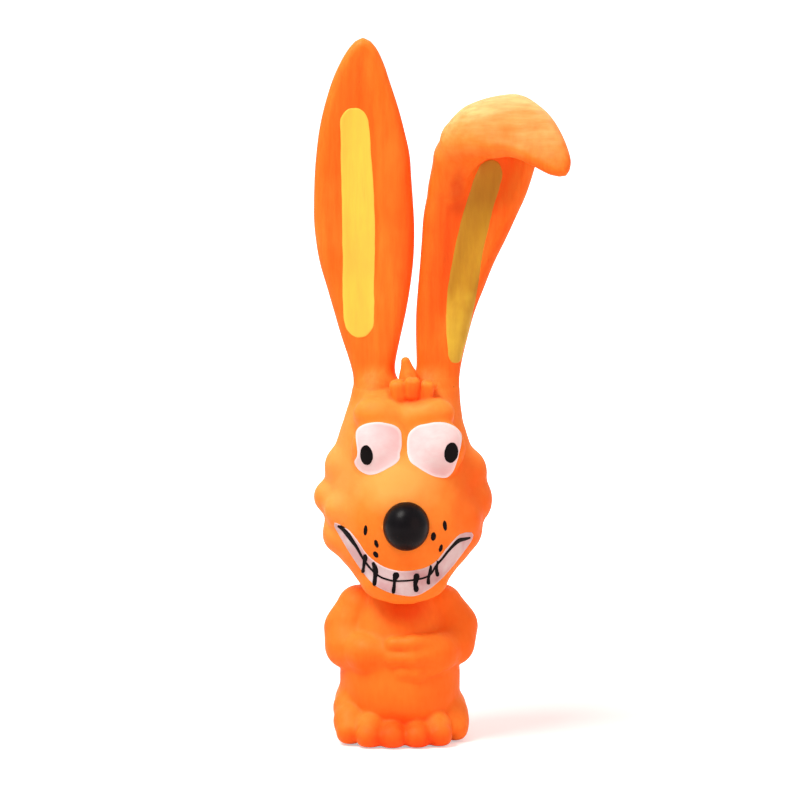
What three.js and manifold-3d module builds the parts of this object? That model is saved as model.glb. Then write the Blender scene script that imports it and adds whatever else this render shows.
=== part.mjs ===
// A squeaky dog toy: a sitting rabbit moulded in soft latex, with one straight and one folded ear.
// Millimetres, +Z up, the face towards -Y. Right and left are the rabbit's own, so its right is at -X.

import * as THREE from 'three';
import { mergeVertices } from 'three/addons/utils/BufferGeometryUtils.js';
import Module from 'manifold-3d';

const wasm = await Module();
wasm.setup();

// Fits
const clearance = 0.3;
const overrun = 2;
const skinWall = 1.8;
const paintThickness = 0.6;

// Body: the origin lies on the flat base, so the body's own axis is set back from it
const axisSetBack = 4;
const torsoHeight = 53;
const torsoWidth = 41;
const torsoDepth = 37;
const neckBallRadius = 12.5;
const neckRise = 1;
const neckSetBack = 2;
const neckHoleRadius = 6;
const tailRadius = 5;
const tailHeightShare = 0.2076;
const tailSink = 2.6;
const neckHeight = torsoHeight + neckRise;

// Squeeze panel: the part of the back that gives way under a bite
const panelRadius = 12;
const panelHeightShare = 0.566;

// Arms, folded round to the front with the hands over the belly, placed by shares of the torso's sizes
const shoulderSpreadShare = 0.371;
const shoulderHeightShare = 0.83;
const elbowSpreadShare = 0.434;
const elbowHeightShare = 0.557;
const elbowAdvanceShare = 0.135;
const forearmSpreadShare = 0.268;
const forearmAdvanceShare = 0.365;
const handSpreadShare = 0.112;
const handHeightShare = 0.566;
const handAdvanceShare = 0.46;
const shoulderRadius = 7;
const upperArmRadius = 6.9;
const elbowRadius = 7;
const forearmRadius = 6.8;
const fingerRadius = 2.8;
const fingerLength = 9;
const fingerPitch = 5;

// Feet, each with a haunch and three toes, the outer ones set back by shares of a toe's length
const haunchSpreadShare = 0.346;
const haunchWidth = 16.4;
const haunchDepthShare = 0.81;
const haunchHeight = 34;
const haunchBase = 1;
const footSplit = 1.6;
const toeLength = 19;
const toeHeight = 11;
const toeReach = 8;
const toeGap = 0.1;
const padHeight = 7;
const innerToeWidth = 7.4;
const middleToeWidth = 7.8;
const outerToeWidth = 7.4;
const footOffset = 1.6;
const rightToeSetBackShares = [0, 0.05, 0.4];
const leftToeSetBackShares = [0.04, 0.17, 0.58];

// Head
const headHeight = 72;
const headWidth = 59.6;
const headDepth = 46;
const chinDrop = 3.4;
const chinHeight = torsoHeight - chinDrop;
const headOffset = 1;
const crownWall = 7;

// Face: heights are shares of the head's height from the chin, offsets are shares of its width
const eyeHeightShare = 0.736;
const eyeSetBack = 7.8;
const eyeDepth = 12;
const rightEyeWidth = 16.4;
const rightEyeRise = 18.6;
const rightEyeOffsetShare = -0.1275;
const leftEyeWidth = 18.8;
const leftEyeRise = 19.2;
const leftEyeOffsetShare = 0.1913;
const noseWidth = 16;
const noseRise = 17.2;
const noseOffsetShare = 0.0285;
const noseHeightShare = 0.3847;
const noseStandoff = 2.5;
const smileWidthShare = 0.7886;
const smileOffsetShare = 0.0218;
const smileDropShare = 0.2306;
const smileBottomShare = 0.0972;
const smileTilt = -4.5;
const toothBandHeight = 8.8;
const smileCurvePower = 1.8;
const smileTaperPower = 4;
const smileTaperShare = 0.75;

// Pupils: place and size as shares of their own eye's width and rise
const rightPupilOffsetShare = -0.232;
const rightPupilHeightShare = -0.097;
const rightPupilWidthShare = 0.256;
const rightPupilRiseShare = 0.355;
const leftPupilOffsetShare = 0.298;
const leftPupilHeightShare = -0.042;
const leftPupilWidthShare = 0.255;
const leftPupilRiseShare = 0.359;

// Hair tuft between the ears
const tuftOffset = 3.4;
const tuftAdvance = 7;
const tuftSink = 0.6;
const tuftLobeRadius = 3.1;
const tuftLobeRise = 4.6;
const tuftLobePitch = 4.4;
const tuftSpikeRadius = 3;
const tuftSpikeLength = 12;
const tuftSpikeSetBack = 3;

// Ears: each root is a spindle that turns in a shallow trough in the crown
const earRootSeat = 0.4;
const earRootSetBack = 2;
const earRootRadius = 4.3;
const earRootWidth = 15;
const earThickness = 8;
const earDish = 1.8;
const dishPower = 0.25;
const straightEarOffsetShare = -0.1477;
const straightEarLength = 116.6;
const straightEarWidth = 34.1;
const foldedEarOffsetShare = 0.2181;
const foldedEarLength = 130;
const foldedEarWidth = 34;
const earBend = 40;

// The fold of the drooping ear: a roll about a line that climbs to the rabbit's left
const foldStartShift = -1.1;
const foldStartShare = 0.6108;
const foldClimb = 18;
const foldBore = 2;
const foldTurn = 150;
const knuckleTurn = 62;
const knuckleWidthShare = 0.88;
const knuckleShiftShare = 0.6;
const tipSetBackShare = 0.75;

// Yellow stripes painted inside the ears: shares of their ear's length going up and of its width going across
const straightStripeWidthShare = 0.3343;
const straightStripeLengthShare = 0.6818;
const straightStripeFootShare = 0.1204;
const straightStripeOffsetShare = -0.1496;
const straightStripeLeanShare = -0.0557;
const foldedStripeWidthShare = 0.2794;
const foldedStripeLengthShare = 0.5231;
const foldedStripeFootShare = 0.0541;
const foldedStripeOffsetShare = 0.1765;
const foldedStripeLeanShare = 0.3588;
const foldedStripeBowShare = -0.0706;
const stripeEndShare = 0.35;
const stripeSwellShare = 3.2;

// Nod of the head
const nodForward = 10;
const nodBack = 15;

// Squeaker, pressed up into the base from below
const squeakerSetBack = 4.6;
const squeakerRadius = 7;
const squeakerHeight = 9;
const squeakerWall = 1;
const squeakerRecess = 0.8;
const squeakerFlangeWidth = 1.4;
const squeakerFlangeThickness = 1.2;
const capThickness = 1;
const capInset = 0.6;
const airHoleRadius = 0.8;
const airHoleCircleShare = 0.5143;
const airHoleCount = 6;

// Reed and its carrier, standing in the squeaker's top plate
const carrierRadius = 2.6;
const carrierPlugLength = 2;
const carrierSpare = 1.4;
const carrierCollar = 0.8;
const channelWidth = 1.8;
const channelDepth = 1.3;
const reedWidth = 2.8;
const reedLength = 8;
const reedThickness = 0.25;
const wedgeLength = 2.6;

// Smoothness
const broadSides = 24;
const middleSides = 18;
const smallSides = 12;
const broadRings = 16;
const earRings = 15;
const foldedEarRings = 26;
const limbRings = 9;
const smallRings = 6;

// Height, width, front and back of each main form, as shares of its named sizes
const torsoShares = [
  [0, 0.56, 0.31, 0.43],
  [0.03, 0.66, 0.36, 0.46],
  [0.12, 0.8, 0.43, 0.49],
  [0.25, 0.96, 0.49, 0.5],
  [0.4, 1, 0.5, 0.5],
  [0.52, 0.97, 0.49, 0.5],
  [0.65, 0.9, 0.46, 0.47],
  [0.82, 0.74, 0.37, 0.4],
  [0.94, 0.58, 0.27, 0.34],
  [1, 0.46, 0.2, 0.28],
];
const headShares = [
  [0, 0.15, 0.44, -0.36],
  [0.03, 0.35, 0.47, -0.24],
  [0.08, 0.49, 0.495, -0.05],
  [0.14, 0.62, 0.51, 0.18],
  [0.2, 0.76, 0.525, 0.34],
  [0.27, 0.85, 0.55, 0.42],
  [0.35, 0.895, 0.565, 0.46],
  [0.43, 0.915, 0.555, 0.475],
  [0.5, 0.905, 0.535, 0.475],
  [0.58, 0.87, 0.51, 0.47],
  [0.66, 0.82, 0.48, 0.45],
  [0.74, 0.75, 0.435, 0.42],
  [0.82, 0.69, 0.385, 0.39],
  [0.89, 0.635, 0.33, 0.35],
  [0.95, 0.57, 0.26, 0.29],
  [0.985, 0.45, 0.17, 0.22],
  [1, 0.16, 0.03, 0.09],
];

// Bulges of the head: two brows, the chin, two cheeks and three tufts of cheek fur a side.
// Middle across, forwards and up, then half width, depth and height, as shares of the head's own sizes
const faceBulgeShares = [
  [-0.144, 0.252, 0.886, 0.161, 0.139, 0.086],
  [0.178, 0.252, 0.886, 0.158, 0.139, 0.083],
  [0.027, 0.343, 0.083, 0.226, 0.152, 0.078],
  [-0.339, 0.261, 0.425, 0.091, 0.1, 0.069],
  [0.376, 0.23, 0.386, 0.08, 0.1, 0.075],
  [-0.342, 0.054, 0.597, 0.094, 0.174, 0.092],
  [-0.399, 0.043, 0.442, 0.092, 0.174, 0.086],
  [-0.346, 0.087, 0.292, 0.097, 0.196, 0.086],
  [0.379, 0.054, 0.597, 0.116, 0.174, 0.106],
  [0.423, 0.043, 0.442, 0.104, 0.174, 0.1],
  [0.366, 0.087, 0.317, 0.104, 0.174, 0.097],
];

// Length, width, thickness and sideways drift of each ear, as shares of length, width, thickness and width
const straightEarShares = [
  [0, 0.41, 0.8, 0],
  [0.06, 0.47, 0.84, -0.015],
  [0.14, 0.63, 0.92, -0.035],
  [0.24, 0.8, 0.98, -0.055],
  [0.34, 0.935, 1, -0.08],
  [0.48, 1, 1, -0.105],
  [0.6, 0.965, 0.98, -0.115],
  [0.73, 0.87, 0.92, -0.125],
  [0.84, 0.68, 0.82, -0.13],
  [0.92, 0.46, 0.66, -0.125],
  [0.975, 0.24, 0.46, -0.115],
  [1, 0.06, 0.2, -0.11],
];
const foldedEarShares = [
  [0, 0.42, 0.8, 0],
  [0.05, 0.47, 0.86, 0.01],
  [0.12, 0.53, 0.92, 0.045],
  [0.245, 0.66, 0.98, 0.13],
  [0.37, 0.82, 1, 0.245],
  [0.495, 0.97, 1, 0.365],
  [0.58, 0.99, 1, 0.44],
  [0.64, 0.92, 1, 0.476],
  [0.69, 0.84, 1, 0.482],
  [0.74, 0.89, 1, 0.47],
  [0.795, 0.92, 1, 0.488],
  [0.835, 0.76, 1, 0.56],
  [0.88, 0.54, 0.98, 0.665],
  [0.93, 0.41, 0.9, 0.712],
  [0.975, 0.28, 0.66, 0.735],
  [1, 0.1, 0.3, 0.753],
];
const ovalPower = 0.9;

// Colours
const latexOrange = 0xff7a24;
const paleOrange = 0xffa24a;
const stripeYellow = 0xf2ce3a;
const stripeOlive = 0xc9a52e;
const paintWhite = 0xf6ecec;
const paintBlack = 0x17171a;
const plasticWhite = 0xe9e6df;
const reedBrass = 0xc79a4b;

// Roughness of each surface
const latexRoughness = 0.55;
const paintRoughness = 0.5;
const stripeRoughness = 0.6;
const glossRoughness = 0.35;
const plasticRoughness = 0.4;

function finish(color, roughness, metalness = 0) {
  return new THREE.MeshStandardMaterial({ color, roughness, metalness });
}

function asSolid(geometry) {
  const bare = geometry.clone();
  bare.deleteAttribute('normal');
  bare.deleteAttribute('uv');
  const merged = mergeVertices(bare);
  const triVerts = new Uint32Array(merged.index.array);
  const vertProperties = new Float32Array(merged.attributes.position.array);
  return new wasm.Manifold(new wasm.Mesh({ numProp: 3, vertProperties, triVerts }));
}

function asMesh(name, solid, material) {
  const cut = solid.getMesh();
  const geometry = new THREE.BufferGeometry();
  geometry.setAttribute('position', new THREE.BufferAttribute(new Float32Array(cut.vertProperties), 3));
  geometry.setIndex(new THREE.BufferAttribute(new Uint32Array(cut.triVerts), 1));
  geometry.computeVertexNormals();
  const mesh = new THREE.Mesh(geometry, material);
  mesh.name = name;
  return mesh;
}

// Six times the volume that the triangles enclose, below zero where they face inwards
function facing(points, triangles) {
  let sum = 0;
  for (let i = 0; i < triangles.length; i += 3) {
    const [a, b, c] = [points[triangles[i]], points[triangles[i + 1]], points[triangles[i + 2]]];
    sum += a.dot(new THREE.Vector3().crossVectors(b, c));
  }
  return sum;
}

// A closed surface through rings of points, with a point in the middle of each end
function loft(rings) {
  const sides = rings[0].length;
  const points = rings.flat();
  const middle = (ring) => ring.reduce((sum, p) => sum.add(p), new THREE.Vector3()).divideScalar(sides);
  const firstMiddle = points.push(middle(rings[0])) - 1;
  const lastMiddle = points.push(middle(rings.at(-1))) - 1;
  const lastRing = (rings.length - 1) * sides;
  const triangles = [];
  for (let side = 0; side < sides; side += 1) {
    const next = (side + 1) % sides;
    triangles.push(firstMiddle, next, side);
    triangles.push(lastMiddle, lastRing + side, lastRing + next);
    for (let ring = 0; ring < lastRing; ring += sides) {
      triangles.push(ring + side, ring + next, ring + sides + next);
      triangles.push(ring + side, ring + sides + next, ring + sides + side);
    }
  }
  if (facing(points, triangles) < 0) triangles.reverse();
  const geometry = new THREE.BufferGeometry().setFromPoints(points);
  geometry.setIndex(triangles);
  return asSolid(geometry);
}

// The row that lies a share of the way down a table, on a smooth curve through its rows
function smoothRow(rows, share) {
  const place = share * (rows.length - 1);
  const low = Math.min(Math.floor(place), rows.length - 2);
  const t = place - low;
  const row = (step) => rows[THREE.MathUtils.clamp(low + step, 0, rows.length - 1)];
  return rows[low].map((_, column) => {
    const [a, b, c, d] = [-1, 0, 1, 2].map((step) => row(step)[column]);
    const bend = (2 * a - 5 * b + 4 * c - d) * t + (3 * b - a - 3 * c + d) * t * t;
    return b + ((c - a + bend) * t) / 2;
  });
}

// A slightly squared circle of directions
function ovalAt(side, sides) {
  const angle = (side / sides) * 2 * Math.PI;
  const push = (value) => Math.sign(value) * Math.abs(value) ** ovalPower;
  return [push(Math.cos(angle)), push(Math.sin(angle))];
}

// An upright form with level rings, as wide and deep as its table says, grown all round by extra
function uprightForm({ base, height, width, depth, offset, shares, extra }) {
  const rings = [];
  for (let ring = 0; ring < broadRings; ring += 1) {
    const [rise, across, front, back] = smoothRow(shares, ring / (broadRings - 1));
    const level = base - extra + rise * (height + 2 * extra);
    const halfWidth = (across * width) / 2 + extra;
    const halfDepth = ((front + back) * depth) / 2 + extra;
    const centre = ((back - front) * depth) / 2;
    const points = [];
    for (let side = 0; side < broadSides; side += 1) {
      const [x, y] = ovalAt(side, broadSides);
      points.push(new THREE.Vector3(offset + x * halfWidth, centre + y * halfDepth, level));
    }
    rings.push(points);
  }
  return loft(rings);
}

function torso(extra) {
  return uprightForm({
    base: 0,
    height: torsoHeight,
    width: torsoWidth,
    depth: torsoDepth,
    offset: 0,
    shares: torsoShares,
    extra,
  });
}

function head(extra) {
  return uprightForm({
    base: chinHeight,
    height: headHeight,
    width: headWidth,
    depth: headDepth,
    offset: headOffset,
    shares: headShares,
    extra,
  });
}

function ball({ centre, halfSizes, sides = middleSides, rings = smallRings }) {
  const sphere = new THREE.SphereGeometry(1, sides, rings);
  sphere.rotateX(Math.PI / 2);
  sphere.scale(...halfSizes);
  sphere.translate(...centre);
  return asSolid(sphere);
}

function post({ centre, radius, length, sides = middleSides }) {
  const cylinder = new THREE.CylinderGeometry(radius, radius, length, sides);
  cylinder.rotateX(Math.PI / 2);
  cylinder.translate(...centre);
  return asSolid(cylinder);
}

function block({ centre, sizes }) {
  const box = new THREE.BoxGeometry(...sizes);
  box.translate(...centre);
  return asSolid(box);
}

// A solid turned about a line along X through the given place
function turnedAbout(solid, { setBack, height, degrees }) {
  return solid
    .translate([0, -setBack, -height])
    .rotate([degrees, 0, 0])
    .translate([0, setBack, height]);
}

function neckBall(extra) {
  const radius = neckBallRadius + extra;
  return ball({
    centre: [0, neckSetBack, neckHeight],
    halfSizes: [radius, radius, radius],
    sides: broadSides,
    rings: limbRings,
  });
}

// Body

function panelPrism(extra) {
  const reach = torsoDepth;
  const radius = panelRadius + extra;
  const cylinder = new THREE.CylinderGeometry(radius, radius, reach, broadSides);
  cylinder.translate(0, reach / 2, 0);
  const solid = asSolid(cylinder);
  return solid.translate([0, 0, panelHeightShare * torsoHeight]);
}

function squeakerHole() {
  return post({
    centre: [0, squeakerSetBack, skinWall / 2],
    radius: squeakerRadius + clearance,
    length: skinWall + 2 * overrun,
    sides: broadSides,
  });
}

function neckHole() {
  return post({
    centre: [0, neckSetBack, neckHeight + neckBallRadius],
    radius: neckHoleRadius,
    length: neckBallRadius,
  });
}

function torsoWallSolid() {
  const outside = torso(0).add(neckBall(0));
  const inside = torso(-skinWall).add(neckBall(-skinWall));
  return outside.subtract(inside);
}

function bodySkin() {
  return torsoWallSolid()
    .subtract(panelPrism(clearance))
    .subtract(squeakerHole())
    .subtract(neckHole());
}

function squeezePanel() {
  return torsoWallSolid().intersect(panelPrism(0));
}

function belowFloor() {
  const reach = headWidth + headDepth;
  return block({ centre: [0, 0, -reach / 2], sizes: [reach, reach, reach] });
}

function tail() {
  const centre = [0, torsoDepth / 2 + tailRadius - tailSink, tailHeightShare * torsoHeight];
  const tuft = ball({ centre, halfSizes: [tailRadius, tailRadius, tailRadius], sides: smallSides });
  return tuft.subtract(torso(clearance));
}

// Arms

// A limb of round sections along a smooth path, closed by a dome at each end
function limb(path, radii, extra) {
  const curve = new THREE.CatmullRomCurve3(path);
  const frames = curve.computeFrenetFrames(limbRings, false);
  const rings = [];
  for (let ring = 0; ring <= limbRings; ring += 1) {
    const share = ring / limbRings;
    const [radius] = smoothRow(radii, share);
    const centre = curve.getPoint(share);
    const points = [];
    for (let side = 0; side < smallSides; side += 1) {
      const angle = (side / smallSides) * 2 * Math.PI;
      const point = centre.clone();
      point.addScaledVector(frames.normals[ring], (radius + extra) * Math.cos(angle));
      point.addScaledVector(frames.binormals[ring], (radius + extra) * Math.sin(angle));
      points.push(point);
    }
    rings.push(points);
  }
  return loft(rings);
}

// A place on an arm, by its shares of the torso's width, depth and height
function armPlace(side, spreadShare, advanceShare, heightShare) {
  const x = side * spreadShare * torsoWidth;
  return new THREE.Vector3(x, -advanceShare * torsoDepth, heightShare * torsoHeight);
}

function armPath(side) {
  const upperArmHeightShare = (shoulderHeightShare + elbowHeightShare) / 2;
  const shoulder = armPlace(side, shoulderSpreadShare, 0, shoulderHeightShare);
  shoulder.y += neckSetBack;
  return [
    shoulder,
    armPlace(side, elbowSpreadShare, 0, upperArmHeightShare),
    armPlace(side, elbowSpreadShare, elbowAdvanceShare, elbowHeightShare),
    armPlace(side, forearmSpreadShare, forearmAdvanceShare, elbowHeightShare),
    armPlace(side, handSpreadShare, handAdvanceShare, handHeightShare),
  ];
}

function armForm(side, extra) {
  const path = armPath(side);
  const radii = [[shoulderRadius], [upperArmRadius], [elbowRadius], [forearmRadius], [forearmRadius]];
  const shoulder = ball({
    centre: path[0].toArray(),
    halfSizes: [shoulderRadius + extra, shoulderRadius + extra, shoulderRadius + extra],
    sides: smallSides,
  });
  return limb(path, radii, extra).add(shoulder);
}

function fingers(side) {
  const hand = armPath(side).at(-1);
  const places = [-1, 0, 1];
  return places.map((place) =>
    ball({
      centre: [hand.x - (side * fingerLength) / 4, hand.y - fingerRadius, hand.z + place * fingerPitch],
      halfSizes: [fingerLength / 2, fingerRadius, fingerRadius],
      sides: smallSides,
    }),
  );
}

// The side of the middle plane that an arm keeps to, less half the clearance
function armSide(side) {
  const reach = headWidth;
  const centre = [side * ((reach + clearance) / 2), 0, reach / 2];
  return block({ centre, sizes: [reach, reach * 2, reach] });
}

function arm(side) {
  const whole = fingers(side).reduce((sum, finger) => sum.add(finger), armForm(side, 0));
  return whole.subtract(torso(clearance)).subtract(neckBall(clearance)).intersect(armSide(side));
}

// Feet

function toeWidths() {
  return [innerToeWidth, middleToeWidth, outerToeWidth];
}

// The middle of the toes, in front of the belly
function toeCentre() {
  return toeLength / 2 - toeReach - torsoDepth / 2;
}

function toes(side) {
  const setBackShares = side < 0 ? rightToeSetBackShares : leftToeSetBackShares;
  let edge = footSplit / 2;
  return toeWidths().map((width, order) => {
    const centre = footOffset + side * (edge + width / 2);
    edge += width + toeGap;
    const setBack = setBackShares[order] * toeLength;
    return ball({
      centre: [centre, toeCentre() + setBack, toeHeight / 2 - haunchBase],
      halfSizes: [width / 2, toeLength / 2, toeHeight / 2],
      sides: smallSides,
    });
  });
}

function foot(side) {
  const haunch = ball({
    centre: [side * haunchSpreadShare * torsoWidth, 0, haunchBase],
    halfSizes: [haunchWidth / 2, (haunchDepthShare * torsoDepth) / 2, haunchHeight / 2],
  });
  const toeSpan = toeWidths().reduce((sum, width) => sum + width, 0);
  const pad = ball({
    centre: [footOffset + side * (footSplit / 2 + toeSpan / 2), toeCentre() + toeLength / 4, 0],
    halfSizes: [toeSpan / 2, toeLength / 2, padHeight],
  });
  const whole = toes(side).reduce((sum, toe) => sum.add(toe), haunch.add(pad));
  return whole
    .subtract(torso(clearance))
    .subtract(armForm(side, clearance))
    .subtract(belowFloor());
}

// Head

function shoulders(extra) {
  return torso(extra).add(armForm(-1, extra)).add(armForm(1, extra));
}

// What the shoulders sweep through, as the nodding head sees them
function nodSweep() {
  const steps = 2;
  let sweep = neckBall(clearance);
  for (let step = 0; step <= steps; step += 1) {
    const degrees = nodBack - (step / steps) * (nodBack + nodForward);
    const seen = { setBack: neckSetBack, height: neckHeight, degrees };
    sweep = sweep.add(turnedAbout(shoulders(clearance), seen));
  }
  return sweep;
}

// The bending line of the ear roots stands just high enough for the ears to clear the crown as they bend
const crownHeight = chinHeight + headHeight;
const earRootHeight =
  crownHeight + earRootRadius * Math.sin(THREE.MathUtils.degToRad(earBend)) - earRootSeat;
const straightEarOffset = straightEarOffsetShare * headWidth;
const foldedEarOffset = foldedEarOffsetShare * headWidth;

// A spindle about the bending line of an ear's root
function spindle({ width, radius, extra }) {
  return ball({
    centre: [0, 0, 0],
    halfSizes: [width / 2 + extra, radius + extra, radius + extra],
    sides: middleSides,
    rings: limbRings,
  });
}

function earRoot(offset, extra) {
  const root = spindle({ width: earRootWidth, radius: earRootRadius, extra });
  return root.translate([offset, earRootSetBack, earRootHeight]);
}

// A height on the face, as a share of the head's height from the chin
function faceHeight(share) {
  return chinHeight + share * headHeight;
}

function faceBulge([across, forwards, up, halfWidth, halfDepth, halfHeight], extra) {
  const half = [halfWidth * headWidth, halfDepth * headDepth, halfHeight * headHeight];
  return ball({
    centre: [across * headWidth, -forwards * headDepth, faceHeight(up)],
    halfSizes: half.map((size) => size + extra),
  });
}

function headCavity() {
  const top = crownHeight - crownWall;
  const reach = headWidth + headDepth;
  const crown = block({ centre: [0, 0, top + reach / 2], sizes: [reach, reach, reach] });
  return head(-skinWall).subtract(crown);
}

// The core of the head with its bulges
function face(extra) {
  return faceBulgeShares.reduce((sum, shares) => sum.add(faceBulge(shares, extra)), head(extra));
}

function headSkin() {
  return face(0)
    .subtract(headCavity())
    .subtract(nodSweep())
    .subtract(earRoot(straightEarOffset, clearance))
    .subtract(earRoot(foldedEarOffset, clearance));
}

function eye({ offset, width, rise }, extra) {
  return ball({
    centre: [offset, eyeSetBack - headDepth / 2, faceHeight(eyeHeightShare)],
    halfSizes: [width / 2 + extra, eyeDepth / 2 + extra, rise / 2 + extra],
    rings: limbRings,
  });
}

const rightEye = { offset: rightEyeOffsetShare * headWidth, width: rightEyeWidth, rise: rightEyeRise };
const leftEye = { offset: leftEyeOffsetShare * headWidth, width: leftEyeWidth, rise: leftEyeRise };

// What an outline seen from the front covers, carried forwards from a set distance before the axis
function forwardPrism(outline, start) {
  const geometry = new THREE.ExtrudeGeometry(outline, { depth: headDepth, bevelEnabled: false });
  geometry.rotateX(Math.PI / 2);
  geometry.translate(0, -start, 0);
  return asSolid(geometry);
}

// A coat of paint on the front of a form, inside an outline
function coat(form, outline, start) {
  const layer = form(clearance + paintThickness).subtract(form(clearance));
  return layer.intersect(forwardPrism(outline, start));
}

function ellipseOutline(x, z, width, rise) {
  const outline = new THREE.Shape();
  outline.absellipse(x, z, width / 2, rise / 2, 0, 2 * Math.PI, false, 0);
  return new THREE.Shape(outline.getPoints(smallRings));
}

// A pupil on its eye, placed and sized by shares of the eye
function pupil(eyeShape, [offsetShare, heightShare, widthShare, riseShare]) {
  const { offset, width, rise } = eyeShape;
  const x = offset + offsetShare * width;
  const z = faceHeight(eyeHeightShare) + heightShare * rise;
  const outline = ellipseOutline(x, z, widthShare * width, riseShare * rise);
  return coat((extra) => eye(eyeShape, extra), outline, headDepth / 2 - eyeSetBack);
}

const rightPupilShares = [
  rightPupilOffsetShare,
  rightPupilHeightShare,
  rightPupilWidthShare,
  rightPupilRiseShare,
];
const leftPupilShares = [
  leftPupilOffsetShare,
  leftPupilHeightShare,
  leftPupilWidthShare,
  leftPupilRiseShare,
];

function smileOutline() {
  const steps = 10;
  const lean = Math.tan(THREE.MathUtils.degToRad(smileTilt));
  const bottom = faceHeight(smileBottomShare);
  const drop = smileDropShare * headHeight;
  const edge = (direction) => {
    const points = [];
    for (let step = 0; step <= steps; step += 1) {
      const place = (2 * step) / steps - 1;
      const along = (place * smileWidthShare * headWidth) / 2;
      const middle = bottom + drop * Math.abs(place) ** smileCurvePower + along * lean;
      const taper = smileTaperShare * Math.abs(place) ** smileTaperPower;
      const half = (toothBandHeight / 2) * (1 - taper);
      points.push(new THREE.Vector2(smileOffsetShare * headWidth + along, middle + direction * half));
    }
    return points;
  };
  return new THREE.Shape([...edge(-1), ...edge(1).reverse()]);
}

function nose() {
  const whole = ball({
    centre: [noseOffsetShare * headWidth, -headDepth / 2 - noseStandoff, faceHeight(noseHeightShare)],
    halfSizes: [noseWidth / 2, noseWidth / 2, noseRise / 2],
    rings: limbRings,
  });
  return whole.subtract(face(clearance));
}

function teeth() {
  return coat(face, smileOutline(), headDepth / 4);
}

function hairTuft() {
  const height = crownHeight - tuftSink;
  const places = [-1, 0, 1];
  const lobes = places.map((place) =>
    ball({
      centre: [tuftOffset + place * tuftLobePitch, -tuftAdvance, height],
      halfSizes: [tuftLobeRadius, tuftLobeRadius, tuftLobeRise],
      sides: smallSides,
    }),
  );
  const cone = new THREE.ConeGeometry(tuftSpikeRadius, tuftSpikeLength, smallSides);
  cone.rotateX(Math.PI / 2);
  cone.translate(tuftOffset, tuftSpikeSetBack - tuftAdvance, height + tuftSpikeLength / 4);
  const whole = lobes.reduce((sum, lobe) => sum.add(lobe), asSolid(cone));
  return whole.subtract(face(clearance));
}

// Ears

// A leaf with a dished front, standing on its root, before any fold
function earLeaf({ offset, length, width, shares, rings }, extra) {
  const turns = [];
  for (let ring = 0; ring < rings; ring += 1) {
    const [rise, across, thick, drift] = smoothRow(shares, ring / (rings - 1));
    const halfWidth = (across * width) / 2 + extra;
    const halfThickness = (thick * earThickness) / 2 + extra;
    const level = earRootHeight - extra + rise * (length + 2 * extra);
    const points = [];
    for (let side = 0; side < middleSides; side += 1) {
      const angle = (side / middleSides) * 2 * Math.PI;
      const dish = Math.sin(angle) < 0 ? earDish * rise ** dishPower * across * Math.sin(angle) ** 2 : 0;
      const y = earRootSetBack + halfThickness * Math.sin(angle) + dish;
      points.push(new THREE.Vector3(offset + drift * width + halfWidth * Math.cos(angle), y, level));
    }
    turns.push(points);
  }
  return turns;
}

const straightLeaf = {
  offset: straightEarOffset,
  length: straightEarLength,
  width: straightEarWidth,
  shares: straightEarShares,
  rings: earRings,
};
const foldedLeaf = {
  offset: foldedEarOffset,
  length: foldedEarLength,
  width: foldedEarWidth,
  shares: foldedEarShares,
  rings: foldedEarRings,
};

const foldAlong = new THREE.Vector3(1, 0, 0).applyAxisAngle(
  new THREE.Vector3(0, 1, 0),
  -THREE.MathUtils.degToRad(foldClimb),
);
const foldUp = new THREE.Vector3().crossVectors(foldAlong, new THREE.Vector3(0, 1, 0));
const foldStart = new THREE.Vector3(
  foldedEarOffset + foldStartShift,
  earRootSetBack,
  earRootHeight + foldStartShare * foldedEarLength,
);
const foldRadius = earThickness / 2 + foldBore;

// Where a point of the flat leaf lies once the leaf is rolled forwards about the fold
function rolled(point) {
  const from = point.clone().sub(foldStart);
  const along = from.dot(foldAlong);
  const up = from.dot(foldUp);
  if (up <= 0) return point;
  const turn = Math.min(up / foldRadius, THREE.MathUtils.degToRad(foldTurn));
  const rest = up - turn * foldRadius;
  const radius = foldRadius + from.y;
  const place = foldStart.clone().addScaledVector(foldAlong, along);
  place.addScaledVector(foldUp, radius * Math.sin(turn) + rest * Math.cos(turn));
  place.y += radius * Math.cos(turn) - foldRadius - rest * Math.sin(turn);
  return place;
}

function straightEarForm(extra) {
  return loft(earLeaf(straightLeaf, extra));
}

function straightEar() {
  return straightEarForm(0).add(earRoot(straightEarOffset, 0));
}

function foldedLeafForm(extra) {
  return loft(earLeaf(foldedLeaf, extra));
}

function rolledSolid(flat) {
  const mesh = flat.getMesh();
  const vertProperties = new Float32Array(mesh.vertProperties.length);
  for (let i = 0; i < vertProperties.length; i += 3) {
    const point = rolled(new THREE.Vector3().fromArray(mesh.vertProperties, i));
    point.toArray(vertProperties, i);
  }
  const triVerts = new Uint32Array(mesh.triVerts);
  return new wasm.Manifold(new wasm.Mesh({ numProp: 3, vertProperties, triVerts }));
}

// The line about which the folded tip bends, inside the roll
const knuckleAngle = THREE.MathUtils.degToRad(knuckleTurn);
const knuckleRadius = earThickness / 2;
const knuckleWidth = knuckleWidthShare * foldedEarWidth;
const knuckleCentre = foldStart
  .clone()
  .addScaledVector(foldAlong, knuckleShiftShare * foldedEarWidth)
  .addScaledVector(foldUp, foldRadius * Math.sin(knuckleAngle))
  .add(new THREE.Vector3(0, foldRadius * (Math.cos(knuckleAngle) - 1), 0));

function knuckle(extra) {
  const sphere = new THREE.SphereGeometry(1, middleSides, limbRings);
  sphere.scale(knuckleWidth / 2 + extra, knuckleRadius + extra, knuckleRadius + extra);
  sphere.rotateY(-THREE.MathUtils.degToRad(foldClimb));
  sphere.translate(...knuckleCentre.toArray());
  return asSolid(sphere);
}

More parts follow.
